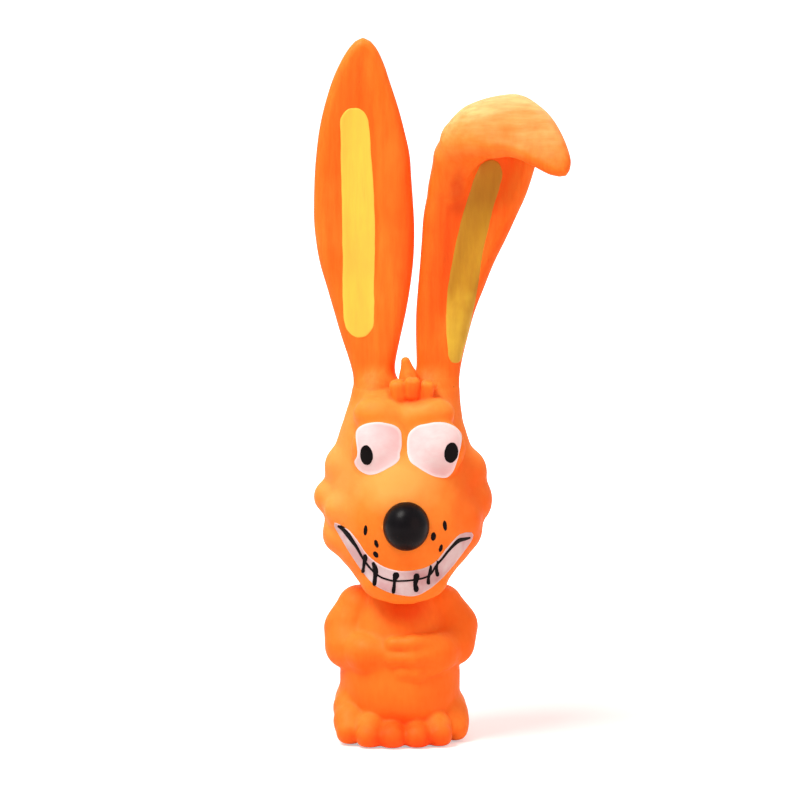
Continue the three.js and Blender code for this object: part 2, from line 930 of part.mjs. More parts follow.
// The part of the flat leaf above the knuckle, so many millimetres of it set back
function aboveKnuckle(setBack) {
  const reach = foldedEarLength;
  const box = new THREE.BoxGeometry(reach, reach, reach);
  box.translate(0, 0, reach / 2);
  box.rotateY(-THREE.MathUtils.degToRad(foldClimb));
  const up = foldRadius * knuckleAngle - setBack;
  box.translate(...foldStart.clone().addScaledVector(foldUp, up).toArray());
  return asSolid(box);
}

function foldedEarTip(extra) {
  const flat = foldedLeafForm(extra).intersect(aboveKnuckle(extra));
  return rolledSolid(flat).add(knuckle(extra));
}

function foldedEar() {
  const flat = foldedLeafForm(0).subtract(aboveKnuckle(tipSetBackShare * knuckleRadius));
  return rolledSolid(flat).subtract(knuckle(clearance)).add(earRoot(foldedEarOffset, 0));
}

// A stripe with round ends along a bowed line, seen from the front
function stripeOutline({ foot, top, bow, width }) {
  const middle = foot.clone().add(top).divideScalar(2).add(bow);
  const line = new THREE.QuadraticBezierCurve(foot, middle, top);
  const steps = 10;
  const edge = (direction) => {
    const points = [];
    for (let step = 0; step <= steps; step += 1) {
      const share = step / steps;
      const swell = stripeEndShare + stripeSwellShare * Math.sqrt(share * (1 - share));
      const half = (width / 2) * Math.min(1, swell);
      const along = line.getTangent(share);
      const across = new THREE.Vector2(along.y, -along.x);
      points.push(line.getPoint(share).addScaledVector(across, direction * half));
    }
    return points;
  };
  return new THREE.Shape([...edge(1), ...edge(-1).reverse()]);
}

// A vector from a share of an ear's width and a share of its length
function onLeaf({ width, length }, acrossShare, alongShare) {
  return new THREE.Vector2(acrossShare * width, alongShare * length);
}

function straightStripe() {
  const root = new THREE.Vector2(straightEarOffset, earRootHeight);
  const foot = root.add(onLeaf(straightLeaf, straightStripeOffsetShare, straightStripeFootShare));
  const rise = onLeaf(straightLeaf, straightStripeLeanShare, straightStripeLengthShare);
  const outline = stripeOutline({
    foot,
    top: foot.clone().add(rise),
    bow: new THREE.Vector2(0, 0),
    width: straightStripeWidthShare * straightEarWidth,
  });
  return coat(straightEarForm, outline, -earRootSetBack);
}

function foldedStripe() {
  const root = new THREE.Vector2(foldedEarOffset, earRootHeight);
  const foot = root.add(onLeaf(foldedLeaf, foldedStripeOffsetShare, foldedStripeFootShare));
  const rise = onLeaf(foldedLeaf, foldedStripeLeanShare, foldedStripeLengthShare);
  const outline = stripeOutline({
    foot,
    top: foot.clone().add(rise),
    bow: onLeaf(foldedLeaf, foldedStripeBowShare, 0),
    width: foldedStripeWidthShare * foldedEarWidth,
  });
  return coat(foldedLeafForm, outline, -earRootSetBack);
}

// Squeaker

// A ring-shaped or round body from its profile of radius and height, closed on itself
function turnedBody(profile, sides = middleSides) {
  const points = profile.map(([radius, height]) => new THREE.Vector2(radius, height));
  const lathe = new THREE.LatheGeometry([...points, points[0]], sides);
  lathe.rotateX(Math.PI / 2);
  return asSolid(lathe).translate([0, squeakerSetBack, 0]);
}

const squeakerTop = squeakerRecess + squeakerHeight;
const plateBottom = squeakerTop - squeakerWall;

function squeakerCup() {
  const inner = squeakerRadius - squeakerWall;
  const bore = carrierRadius + clearance;
  const flangeBottom = skinWall + clearance;
  const flangeTop = flangeBottom + squeakerFlangeThickness;
  const flangeRadius = squeakerRadius + squeakerFlangeWidth;
  return turnedBody([
    [squeakerRadius, squeakerRecess],
    [squeakerRadius, flangeBottom],
    [flangeRadius, flangeBottom],
    [flangeRadius, flangeTop],
    [squeakerRadius, flangeTop],
    [squeakerRadius, squeakerTop],
    [bore, squeakerTop],
    [bore, plateBottom],
    [inner, plateBottom],
    [inner, squeakerRecess],
  ]);
}

function squeakerCap() {
  const radius = squeakerRadius - squeakerWall - clearance;
  const bottom = squeakerRecess + capInset;
  const centre = [0, squeakerSetBack, bottom + capThickness / 2];
  let cap = post({ centre, radius, length: capThickness });
  for (let hole = 0; hole < airHoleCount; hole += 1) {
    const angle = (hole / airHoleCount) * 2 * Math.PI;
    const reach = airHoleCircleShare * squeakerRadius;
    const place = [reach * Math.cos(angle), squeakerSetBack + reach * Math.sin(angle), centre[2]];
    const length = capThickness + overrun;
    const drill = post({ centre: place, radius: airHoleRadius, length, sides: smallRings });
    cap = cap.subtract(drill);
  }
  return cap;
}

// The carrier: a round plug with a collar, and above it a half-round tongue with a groove for the air
const carrierBottom = plateBottom - carrierPlugLength / 2;
const collarBottom = squeakerTop + clearance;
const tongueBottom = collarBottom + carrierCollar;
const tongueTop = tongueBottom + reedLength + wedgeLength + carrierSpare;

function reedCarrier() {
  const plug = turnedBody([
    [0, carrierBottom],
    [carrierRadius, carrierBottom],
    [carrierRadius, collarBottom],
    [carrierRadius + carrierCollar, collarBottom],
    [carrierRadius + carrierCollar, tongueBottom],
    [carrierRadius, tongueBottom],
    [carrierRadius, tongueTop],
    [0, tongueTop],
  ]);
  const cutDepth = carrierRadius * 2;
  const flat = block({
    centre: [0, squeakerSetBack + cutDepth / 2, (tongueBottom + tongueTop) / 2 + overrun / 2],
    sizes: [cutDepth * 2, cutDepth, tongueTop - tongueBottom + overrun],
  });
  const grooveTop = tongueTop - wedgeLength;
  const grooveBottom = carrierBottom - overrun;
  const groove = block({
    centre: [0, squeakerSetBack - channelDepth / 2 + clearance, (grooveTop + grooveBottom) / 2],
    sizes: [channelWidth, channelDepth + 2 * clearance, grooveTop - grooveBottom],
  });
  return plug.subtract(flat).subtract(groove);
}

// The wedge grips the fixed end of the reed against the tongue's top
const reedFace = squeakerSetBack + clearance;
const wedgeBottom = tongueTop - wedgeLength;

function reed() {
  const bottom = wedgeBottom - reedLength;
  return block({
    centre: [0, reedFace + reedThickness / 2, (bottom + tongueTop) / 2],
    sizes: [reedWidth, reedThickness, tongueTop - bottom],
  });
}

function reedWedge() {
  const face = reedFace + reedThickness + clearance;
  const half = turnedBody([
    [0, wedgeBottom],
    [carrierRadius, wedgeBottom],
    [carrierRadius, tongueTop],
    [0, tongueTop],
  ]);
  const reach = carrierRadius * 4;
  const front = block({
    centre: [0, face - reach / 2, (wedgeBottom + tongueTop) / 2],
    sizes: [reach, reach, wedgeLength + overrun],
  });
  return half.subtract(front);
}

const latex = () => finish(latexOrange, latexRoughness);
const paint = () => finish(paintWhite, paintRoughness);
const gloss = () => finish(paintBlack, glossRoughness);
const plastic = () => finish(plasticWhite, plasticRoughness);
const group = new THREE.Group();
group.position.y = axisSetBack;

function addPiece(name, solid, material) {
  group.add(asMesh(name, solid, material));
}

addPiece('body_skin', bodySkin(), latex());
addPiece('squeeze_panel', squeezePanel(), latex());
addPiece('right_arm', arm(-1), latex());
addPiece('left_arm', arm(1), latex());
addPiece('right_foot', foot(-1), latex());
addPiece('left_foot', foot(1), latex());
addPiece('tail', tail(), latex());
addPiece('head_skin', headSkin(), latex());
addPiece('hair_tuft', hairTuft(), latex());
addPiece('nose', nose(), gloss());
addPiece('right_eye', eye(rightEye, 0).subtract(face(clearance)), paint());
addPiece('left_eye', eye(leftEye, 0).subtract(face(clearance)), paint());
addPiece('right_pupil', pupil(rightEye, rightPupilShares), gloss());
addPiece('left_pupil', pupil(leftEye, leftPupilShares), gloss());
addPiece('teeth', teeth(), paint());
addPiece('straight_ear', straightEar(), latex());
addPiece('straight_ear_stripe', straightStripe(), finish(stripeYellow, stripeRoughness));
addPiece('folded_ear', foldedEar(), latex());
addPiece('folded_ear_stripe', foldedStripe(), finish(stripeOlive, stripeRoughness));
addPiece('folded_ear_tip', foldedEarTip(0), finish(paleOrange, latexRoughness));
addPiece('squeaker_cup', squeakerCup(), plastic());
addPiece('squeaker_cap', squeakerCap(), plastic());
addPiece('reed_carrier', reedCarrier(), plastic());
addPiece('reed_wedge', reedWedge(), plastic());
addPiece('reed', reed(), finish(reedBrass, glossRoughness, 1));

export default group;
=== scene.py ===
import math

import bmesh
import bpy
import numpy as np
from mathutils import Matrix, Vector


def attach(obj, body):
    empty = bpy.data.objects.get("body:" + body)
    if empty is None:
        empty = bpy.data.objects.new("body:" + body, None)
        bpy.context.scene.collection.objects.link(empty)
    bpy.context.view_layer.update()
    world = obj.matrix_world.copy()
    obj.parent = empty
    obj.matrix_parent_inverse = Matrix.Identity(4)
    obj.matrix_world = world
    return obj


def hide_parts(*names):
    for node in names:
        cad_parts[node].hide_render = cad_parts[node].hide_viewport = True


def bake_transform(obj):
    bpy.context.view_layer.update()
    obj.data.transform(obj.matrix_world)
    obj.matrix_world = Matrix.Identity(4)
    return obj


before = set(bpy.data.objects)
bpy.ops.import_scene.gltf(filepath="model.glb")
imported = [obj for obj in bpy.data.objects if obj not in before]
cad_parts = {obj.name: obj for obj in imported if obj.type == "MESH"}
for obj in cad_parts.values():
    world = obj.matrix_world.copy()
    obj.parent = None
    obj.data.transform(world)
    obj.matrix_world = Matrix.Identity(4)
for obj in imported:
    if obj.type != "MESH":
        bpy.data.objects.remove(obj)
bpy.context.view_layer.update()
print("frame loaded, nodes:", len(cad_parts))

# Shapes are worked out in millimetres about the body's own axis, which stands a little behind the origin
toyFrame = {"axisSetBack": 4.0, "millimetre": 0.001}

# The photograph: 800 pixels square, taken from a little above
photo = {"width": 800, "pixel": 0.341, "aimHeight": 116.4, "elevation": 9.0, "lens": 500.0, "sensor": 36.0,
         "clip": (0.01, 20)}


def toFrame(points):
    moved = np.asarray(points, float) + np.array([0.0, toyFrame["axisSetBack"], 0.0])
    return moved * toyFrame["millimetre"]


# The camera comes first, because the painted parts are laid along its rays
def makeCamera():
    span = photo["width"] * photo["pixel"]
    distance = span * photo["lens"] / photo["sensor"]
    tilt = math.radians(photo["elevation"])
    eye = np.array([0.0, -distance * math.cos(tilt), photo["aimHeight"] + distance * math.sin(tilt)])
    data = bpy.data.cameras.new("photoCamera")
    data.lens = photo["lens"]
    data.sensor_width = photo["sensor"]
    data.clip_start, data.clip_end = photo["clip"]
    camera = bpy.data.objects.new("photoCamera", data)
    bpy.context.scene.collection.objects.link(camera)
    camera.location = Vector(toFrame(eye))
    camera.rotation_euler = (math.radians(90) - tilt, 0, 0)
    bpy.context.scene.camera = camera
    return eye, tilt


cameraEye, cameraTilt = makeCamera()


def photoRays(pixels):
    pixels = np.asarray(pixels, float)
    perPixel = photo["sensor"] / photo["lens"] / photo["width"]
    side = (pixels[:, 0] - photo["width"] / 2) * perPixel
    rise = (photo["width"] / 2 - pixels[:, 1]) * perPixel
    sinTilt, cosTilt = math.sin(cameraTilt), math.cos(cameraTilt)
    rays = np.stack([side, cosTilt + rise * sinTilt, rise * cosTilt - sinTilt], axis=1)
    return rays / np.linalg.norm(rays, axis=1)[:, None]


# Soft forms: each is a distance, below zero inside, and works on grids and on lists of points alike
def joinSoft(a, b, width):
    near = np.maximum(width - np.abs(a - b), 0) / width
    return np.minimum(a, b) - near * near * width / 4


def cutSoft(a, b, width):
    return -joinSoft(-a, b, width)


def egg(x, y, z, centre, radii, lean=0.0):
    dx, dy, dz = x - centre[0], y - centre[1], z - centre[2]
    if lean:
        c, s = math.cos(math.radians(lean)), math.sin(math.radians(lean))
        dx, dz = dx * c + dz * s, dz * c - dx * s
    ax, ay, az = dx / radii[0], dy / radii[1], dz / radii[2]
    near = np.sqrt(ax * ax + ay * ay + az * az)
    slope = np.sqrt((ax / radii[0]) ** 2 + (ay / radii[1]) ** 2 + (az / radii[2]) ** 2)
    return near * (near - 1) / np.maximum(slope, 1e-6)


# A block with rounded edges, leaning to one side
def block(x, y, z, centre, sizes, lean, edge):
    dx, dy, dz = x - centre[0], y - centre[1], z - centre[2]
    c, s = math.cos(math.radians(lean)), math.sin(math.radians(lean))
    dx, dz = dx * c + dz * s, dz * c - dx * s
    ax, ay, az = (np.abs(d) - size + edge for d, size in zip((dx, dy, dz), sizes))
    out = np.sqrt(np.maximum(ax, 0) ** 2 + np.maximum(ay, 0) ** 2 + np.maximum(az, 0) ** 2)
    return out + np.minimum(np.maximum(ax, np.maximum(ay, az)), 0) - edge


# A limb through balls of given radii, each ball joined to the next by a straight taper
def limb(x, y, z, balls, width=1.5):
    total = None
    for (ax, ay, az, ar), (bx, by, bz, br) in zip(balls, balls[1:]):
        lx, ly, lz = bx - ax, by - ay, bz - az
        along = ((x - ax) * lx + (y - ay) * ly + (z - az) * lz) / (lx * lx + ly * ly + lz * lz)
        along = np.clip(along, 0, 1)
        gap = np.sqrt((x - ax - along * lx) ** 2 + (y - ay - along * ly) ** 2 + (z - az - along * lz) ** 2)
        part = gap - ar - along * (br - ar)
        total = part if total is None else joinSoft(total, part, width)
    return total


def smoothLine(points, count):
    points = np.asarray(points, float)
    rows = np.vstack([2 * points[0] - points[1], points, 2 * points[-1] - points[-2]])
    place = np.linspace(0, len(points) - 1, count)
    low = np.minimum(place.astype(int), len(points) - 2)
    t = (place - low)[:, None]
    a, b, c, d = rows[low], rows[low + 1], rows[low + 2], rows[low + 3]
    return b + 0.5 * t * (c - a + t * (2 * a - 5 * b + 4 * c - d + t * (3 * (b - c) + d - a)))


def smoothLoop(points, count):
    points = np.asarray(points, float)
    total = len(points)
    place = np.linspace(0, total, count, endpoint=False)
    low = place.astype(int)
    t = (place - low)[:, None]
    a, b, c, d = (points[(low + step) % total] for step in (-1, 0, 1, 2))
    return b + 0.5 * t * (c - a + t * (2 * a - 5 * b + 4 * c - d + t * (3 * (b - c) + d - a)))


# An upright form from rows of height, half width, front and back
def uprightForm(x, y, z, rows, offset, cap):
    dense = smoothLine(rows, 96)
    order = np.argsort(dense[:, 0])
    wide, front, back = (np.interp(z, dense[order, 0], dense[order, column]) for column in (1, 2, 3))
    wide = np.maximum(wide, 0.5)
    deep = np.maximum((front + back) / 2, 0.5)
    ax, ay = (x - offset) / wide, (y - (back - front) / 2) / deep
    near = np.sqrt(ax * ax + ay * ay)
    slope = np.sqrt((ax / wide) ** 2 + (ay / deep) ** 2)
    side = near * (near - 1) / np.maximum(slope, 1e-6)
    side = cutSoft(side, dense[order[-1], 0] - z, cap)
    return cutSoft(side, z - dense[order[0], 0], cap)


def slopeOf(field, points, step=0.12):
    slope = np.zeros_like(points)
    for axis in range(3):
        shift = np.zeros(3)
        shift[axis] = step
        slope[:, axis] = (field(*(points + shift).T) - field(*(points - shift).T)) / (2 * step)
    return slope


# Moves points onto the surface of a form
def settle(field, points, rounds=3, most=0.5):
    for _ in range(rounds):
        slope = slopeOf(field, points)
        size = np.maximum((slope * slope).sum(axis=1), 1e-4)
        move = slope * (field(*points.T) / size)[:, None]
        far = np.maximum(np.linalg.norm(move, axis=1), 1e-9)
        points = points - move * np.minimum(1, most / far)[:, None]
    return points


# A mesh of four-sided faces over a form, one point in each cell that the surface crosses
def netOver(field, low, high, cell):
    lines = [np.arange(a, b + cell, cell) for a, b in zip(low, high)]
    shape = tuple(len(line) for line in lines)
    x, y, z = lines[0][:, None, None], lines[1][None, :, None], lines[2][None, None, :]
    values = np.broadcast_to(field(x, y, z), shape)
    inside = values < 0
    corners = [(i, j, k) for i in (0, 1) for j in (0, 1) for k in (0, 1)]
    full = np.zeros(tuple(s - 1 for s in shape), np.int8)
    for i, j, k in corners:
        full += inside[i:shape[0] - 1 + i, j:shape[1] - 1 + j, k:shape[2] - 1 + k]
    crossed = (full > 0) & (full < 8)
    cells = np.argwhere(crossed)
    index = np.full(full.shape, -1, int)
    index[crossed] = np.arange(len(cells))
    total, hits = np.zeros((len(cells), 3)), np.zeros(len(cells))
    for axis in range(3):
        unit = np.eye(3, dtype=int)[axis]
        for corner in corners:
            if corner[axis]:
                continue
            a = cells + np.array(corner)
            b = a + unit
            va, vb = values[tuple(a.T)], values[tuple(b.T)]
            cross = (va < 0) != (vb < 0)
            share = va[cross] / (va[cross] - vb[cross])
            total[cross] += a[cross] + unit * share[:, None]
            hits[cross] += 1
    points = np.array(low) + cell * total / hits[:, None]
    faces = []
    for axis in range(3):
        u, v = (axis + 1) % 3, (axis + 2) % 3
        near = np.moveaxis(inside, axis, 0)
        change = np.moveaxis(near[:-1] != near[1:], 0, axis)
        spots = np.argwhere(change)
        good = (spots[:, u] > 0) & (spots[:, v] > 0)
        good &= (spots[:, u] < shape[u] - 1) & (spots[:, v] < shape[v] - 1)
        spots = spots[good]
        du, dv = np.eye(3, dtype=int)[u], np.eye(3, dtype=int)[v]
        quad = np.stack([index[tuple((spots - m).T)] for m in (du + dv, dv, 0 * du, du)], axis=1)
        outward = inside[tuple(spots.T)]
        quad[~outward] = quad[~outward][:, ::-1]
        faces.append(quad)
    return settle(field, points), np.vstack(faces)


# How hollow or how proud a form is at each point, for the painted shade in the creases and the painted
# highlight on the rims
def bendOf(field, points, step=1.1):
    around = -6 * field(*points.T)
    for axis in range(3):
        shift = np.zeros(3)
        shift[axis] = step
        around = around + field(*(points + shift).T) + field(*(points - shift).T)
    return around / step ** 2


def meshFrom(points, faces, bend=None):
    mesh = bmesh.new()
    tint = mesh.verts.layers.float.new("bend")
    verts = [mesh.verts.new(p) for p in points]
    if bend is not None:
        for vert, value in zip(verts, bend):
            vert[tint] = value
    for face in faces:
        mesh.faces.new([verts[i] for i in face])
    return mesh


def cutAcross(mesh, place, facing, near=None):
    faces = [f for f in mesh.faces if near is None or near(f.calc_center_median())]
    parts = set(faces)
    for face in faces:
        parts.update(face.edges)
        parts.update(face.verts)
    bmesh.ops.bisect_plane(mesh, geom=list(parts), plane_co=place, plane_no=facing, dist=1e-5)


# A piece of the toy from those faces of a mesh that are asked for, keeping the whole mesh's normals
def pieceFrom(mesh, name, wanted=None, chosen=None):
    mesh.normal_update()
    mesh.verts.index_update()
    tint = mesh.verts.layers.float.get("bend")
    faces = chosen or [f for f in mesh.faces if wanted is None or wanted(f.calc_center_median())]
    used = sorted({v.index for f in faces for v in f.verts})
    order = {old: new for new, old in enumerate(used)}
    mesh.verts.ensure_lookup_table()
    verts = [mesh.verts[i] for i in used]
    data = bpy.data.meshes.new(name)
    corners = [[order[v.index] for v in f.verts] for f in faces]
    data.from_pydata(toFrame([v.co[:] for v in verts]).tolist(), [], corners)
    data.polygons.foreach_set("use_smooth", [True] * len(data.polygons))
    if tint is not None:
        layer = data.attributes.new("bend", "FLOAT", "POINT")
        layer.data.foreach_set("value", [v[tint] for v in verts])
    data.update()
    data.normals_split_custom_set_from_vertices([v.normal[:] for v in verts])
    piece = bpy.data.objects.new(name, data)
    bpy.context.scene.collection.objects.link(piece)
    return piece


def gridFaces(rows, columns, closed=False):
    wrap = columns if closed else columns - 1
    return [[r * columns + c, r * columns + (c + 1) % columns, (r + 1) * columns + (c + 1) % columns,
             (r + 1) * columns + c] for r in range(rows - 1) for c in range(wrap)]


# How a ray walks from in front of the toy to its surface, and how a point that misses it is brought there
landing = {"startDepth": -44.0, "steps": 60, "stride": 0.7, "longest": 3.0, "near": 0.03, "rounds": 8,
           "most": 2.0}
# How far the rim of a coat of paint sinks in, and how late its sides and its ends turn down
coatEdge = {"sink": 0.12, "sides": 10, "ends": 12}
# The least half width of a brush stroke, the least reach of its round ends and how blunt these are
strokeEdge = {"thinnest": 0.2, "reach": 0.3, "blunt": 0.0016}


# Where the photograph's rays through some pixels meet a form, and which way its surface faces there
def landOn(field, pixels, startDepth=landing["startDepth"]):
    rays = photoRays(pixels)
    reach = (startDepth - cameraEye[1]) / rays[:, 1]
    points = cameraEye + rays * reach[:, None]
    best, nearest = points.copy(), np.full(len(points), 1e9)
    for _ in range(landing["steps"]):
        gap = field(*points.T)
        closer = np.abs(gap) < nearest
        best[closer], nearest[closer] = points[closer], np.abs(gap)[closer]
        stride = np.clip(gap * landing["stride"], -landing["longest"], landing["longest"])
        points = points + rays * stride[:, None]
    past = nearest > landing["near"]
    best[past] = settle(field, best[past], landing["rounds"], landing["most"])
    slope = slopeOf(field, best)
    return best, slope / np.linalg.norm(slope, axis=1)[:, None]


# A coat of paint: rows of pixels laid on a form, raised a little, with its outer rim sunk into the surface
def paintCoat(name, field, pixels, rows, columns, raised, closed, startDepth=landing["startDepth"],
              split=None):
    points, normals = landOn(field, pixels.reshape(-1, 2), startDepth)
    rim = np.zeros((rows, columns))
    if closed:
        rim[:] = np.linspace(0, 1, rows)[:, None]
    else:
        across = np.abs(np.linspace(-1, 1, rows))[:, None]
        along = np.abs(np.linspace(-1, 1, columns))[None, :]
        rim = np.maximum(across * np.ones_like(along), along ** coatEdge["ends"])
    down = rim.ravel() ** coatEdge["sides"]
    lift = raised * (1 - down) - coatEdge["sink"] * down
    points = points + normals * lift[:, None]
    faces = gridFaces(rows, columns, closed)
    mesh = meshFrom(points, faces, rim.ravel())
    if closed:
        mesh.verts.ensure_lookup_table()
        bmesh.ops.remove_doubles(mesh, verts=mesh.verts[:columns], dist=0.01)
    mesh.normal_update()
    if sum(f.normal.y * f.calc_area() for f in mesh.faces) > 0:
        bmesh.ops.reverse_faces(mesh, faces=mesh.faces[:])
    if split is None:
        piece = pieceFrom(mesh, name)
    else:
        cutAcross(mesh, (0, 0, split), (0, 0, 1))
        lower = pieceFrom(mesh, name, lambda c: c.z <= split)
        piece = (lower, pieceFrom(mesh, name + "Top", lambda c: c.z > split))
    mesh.free()
    return piece


# An uneven line that closes on itself, the same for the same seed
def wobble(count, size, seed):
    turn = np.linspace(0, 2 * math.pi, count, endpoint=False)
    draw = np.random.default_rng(seed)
    waves = (3, 5, 7, 11, 17)
    return size * sum(np.sin(turn * k + draw.uniform(0, 6.3)) / math.sqrt(k) for k in waves) / 2


# A filled spot from its outline in the photograph
def paintSpot(name, field, outline, raised, rings=9, count=64, shake=0.25, seed=1):
    loop = smoothLoop(outline, count)
    middle = loop.mean(axis=0)
    away = loop - middle
    reach = np.linalg.norm(away, axis=1)[:, None]
    loop = middle + away * (1 + wobble(count, shake, seed)[:, None] / reach)
    shares = np.sin(np.linspace(0, math.pi / 2, rings))
    pixels = middle + shares[:, None, None] * (loop - middle)[None]
    return paintCoat(name, field, pixels, rings, count, raised, True)


# A brush stroke from a line of pixels with a half width at each, round at both ends
def paintStroke(name, field, line, raised, count, across, shake, seed=1, startDepth=landing["startDepth"],
                split=None):
    dense = smoothLine(line, count)
    path, half = dense[:, :2], np.maximum(dense[:, 2], strokeEdge["thinnest"])
    along = np.gradient(path, axis=0)
    along = along / np.linalg.norm(along, axis=1)[:, None]
    side = np.stack([-along[:, 1], along[:, 0]], axis=1)
    run = np.concatenate([[0], np.cumsum(np.linalg.norm(np.diff(path, axis=0), axis=1))])
    for left in (run, run[-1] - run):
        gap = np.clip(1 - left / np.maximum(half, strokeEdge["reach"]), 0, 1)
        half = half * np.sqrt(np.maximum(1 - gap ** 2, strokeEdge["blunt"]))
    edge = [half + wobble(count, shake, seed + turn) for turn in (0, 1)]
    shares = np.linspace(-1, 1, across)
    reaches = [share * (edge[1] if share > 0 else edge[0]) for share in shares]
    pixels = np.stack([path + side * reach[:, None] for reach in reaches])
    return paintCoat(name, field, pixels, across, count, raised, False, startDepth, split)


# The outline of an ellipse that leans, in pixels
def ellipseLine(x, y, half, tall, lean, count=16):
    turn = np.linspace(0, 2 * math.pi, count, endpoint=False)
    c, s = math.cos(math.radians(lean)), math.sin(math.radians(lean))
    dx, dy = half * np.cos(turn), tall * np.sin(turn)
    return np.stack([x + dx * c - dy * s, y + dx * s + dy * c], axis=1)


print("tools ready")


# Head: rows of height, half width, front and back, then the bulges of the face: centre, half sizes and lean
headShape = {
    "rows": [
        (49.6, 4.5, 20.6, -15.0), (51.6, 10.5, 21.8, -11.0), (55.2, 14.6, 22.4, -2.3),
        (59.6, 18.4, 22.8, 8.3), (64.0, 22.6, 23.0, 15.4), (69.0, 25.2, 23.4, 18.8),
        (75.0, 26.6, 23.6, 20.8), (81.0, 27.2, 23.2, 21.5), (86.0, 27.0, 22.4, 21.5),
        (91.4, 26.0, 21.2, 21.2), (97.0, 24.4, 19.8, 20.3), (103.0, 22.4, 18.4, 18.9),
        (108.6, 20.6, 17.0, 17.5), (113.7, 18.4, 15.0, 15.7), (118.0, 15.2, 12.0, 13.0),
        (120.6, 12.6, 8.3, 10.0), (121.5, 5.5, 2.5, 5.0),
    ],
    "offset": 1.0, "cap": 2.0,
    # how softly each kind of bulge runs into the head, in the order in which they are joined to it
    "joins": {"muzzle": 7.0, "bridge": 6.0, "chin": 3.5, "fur": 2.2, "cheeks": 3.5, "earRoots": 5.0,
              "brows": 3.6, "eyes": 2.2, "nubs": 0.5},
    "brows": [((-7.4, -11.8, 113.2), (8.4, 6.2, 6.0), -8), ((10.0, -11.8, 113.2), (8.6, 6.2, 5.8), 8)],
    "muzzle": [((1.6, -13.5, 76.0), (17.0, 11.6, 15.5))],
    "chin": [((1.6, -15.8, 55.6), (13.5, 7.0, 5.6))],
    "bridge": [((1.4, -12.2, 88.5), (12.0, 10.8, 14.5))],
    "eyes": [((-7.0, -15.0, 102.3), (9.5, 6.4, 9.8), 0), ((12.2, -15.0, 102.3), (10.1, 6.3, 9.8), 6)],
    "fur": [
        ((-20.2, -2.5, 94.0), (5.5, 8.0, 6.6)), ((-23.9, -2.0, 83.4), (5.5, 8.0, 5.8)),
        ((-20.6, -4.0, 70.6), (5.8, 9.0, 6.2)), ((22.6, -2.5, 91.8), (7.1, 8.0, 8.4)),
        ((25.2, -2.0, 82.4), (6.3, 8.0, 8.2)), ((21.8, -4.0, 72.4), (6.2, 8.0, 7.0)),
    ],
    "cheeks": [((-20.2, -12.0, 80.2), (5.4, 4.6, 5.0)), ((22.4, -10.6, 77.4), (4.8, 4.6, 5.4))],
    "earRoots": [((-8.2, -1.6, 116.2), (6.3, 6.2, 8.4)), ((11.6, -1.4, 116.2), (6.2, 6.0, 8.4))],
    "nubs": [((1.7, -24.6, 84.7), (0.8, 1.4, 0.8)), ((-5.4, -24.6, 76.4), (0.8, 1.4, 0.8)),
             ((9.2, -24.4, 76.6), (0.8, 1.4, 0.8))],
    # each lock: middle, half sizes, lean and how round its edges are
    "tuftLocks": [((-0.6, -9.8, 121.2), (2.8, 3.4, 3.8), 12, 2.2),
                  ((4.2, -10.2, 122.0), (2.6, 3.4, 3.7), -3, 1.7),
                  ((9.1, -9.8, 121.2), (2.3, 3.4, 3.4), -10, 1.6)],
    "tuftPoint": [(9.0, -10.2, 122.8, 1.8), (11.6, -10.4, 122.8, 1.2)],
    "tuftSpike": [(3.2, -5.2, 119.0, 3.6), (2.9, -5.0, 125.2, 3.1), (1.9, -4.8, 130.4, 1.6)],
    "spikeJoin": 1.0, "lockJoin": 0.5, "tuftJoin": 0.9,
    "cell": 0.62, "low": (-33.0, -29.0, 48.0), "high": (35.0, 25.0, 133.5),
}


def faceField(x, y, z):
    form = uprightForm(x, y, z, headShape["rows"], headShape["offset"], headShape["cap"])
    for part, width in headShape["joins"].items():
        for bulge in headShape[part]:
            form = joinSoft(form, egg(x, y, z, *bulge), width)
    return form


def tuftField(x, y, z):
    spike = limb(x, y, z, headShape["tuftSpike"], headShape["spikeJoin"])
    form = np.minimum(spike, limb(x, y, z, headShape["tuftPoint"]))
    for lock in headShape["tuftLocks"]:
        form = joinSoft(form, block(x, y, z, *lock), headShape["lockJoin"])
    return form


# Ears: rows of height, middle and half width of the flat leaf, with round thick rims and a dished front
straightEar = {
    "rows": [
        (112.0, -8.0, 7.2), (118.0, -8.4, 7.0), (124.0, -8.9, 7.0), (130.1, -9.4, 8.0), (138.4, -9.9, 10.2),
        (146.7, -10.2, 12.3), (155.0, -10.7, 14.2), (163.3, -11.4, 15.9), (171.5, -11.9, 16.8),
        (179.8, -12.3, 17.05), (192.2, -12.6, 16.5), (200.5, -12.6, 15.9), (208.8, -13.0, 14.5),
        (217.1, -13.2, 12.5), (225.4, -13.3, 9.9), (231.5, -13.0, 7.6), (236.5, -12.7, 5.0),
        (239.4, -12.6, 2.6),
    ],
    "middle": 2.0, "half": 4.0, "dish": 2.6, "rimWidth": 2.0, "dishWidth": 13.0, "dishFoot": (126.0, 165.0),
    "dishEase": 2.0, "taper": 1.5, "taperFrom": (180.0, 240.0),
    # a low rib that runs up the dish
    "rib": {"place": -6.6, "width": 2.4, "height": 0.7, "fade": (2.0, 7.0)},
    "cell": 0.66, "low": (-31.0, -10.0, 118.0), "high": (5.2, 9.0, 243.0), "bendSpan": 11.5,
}
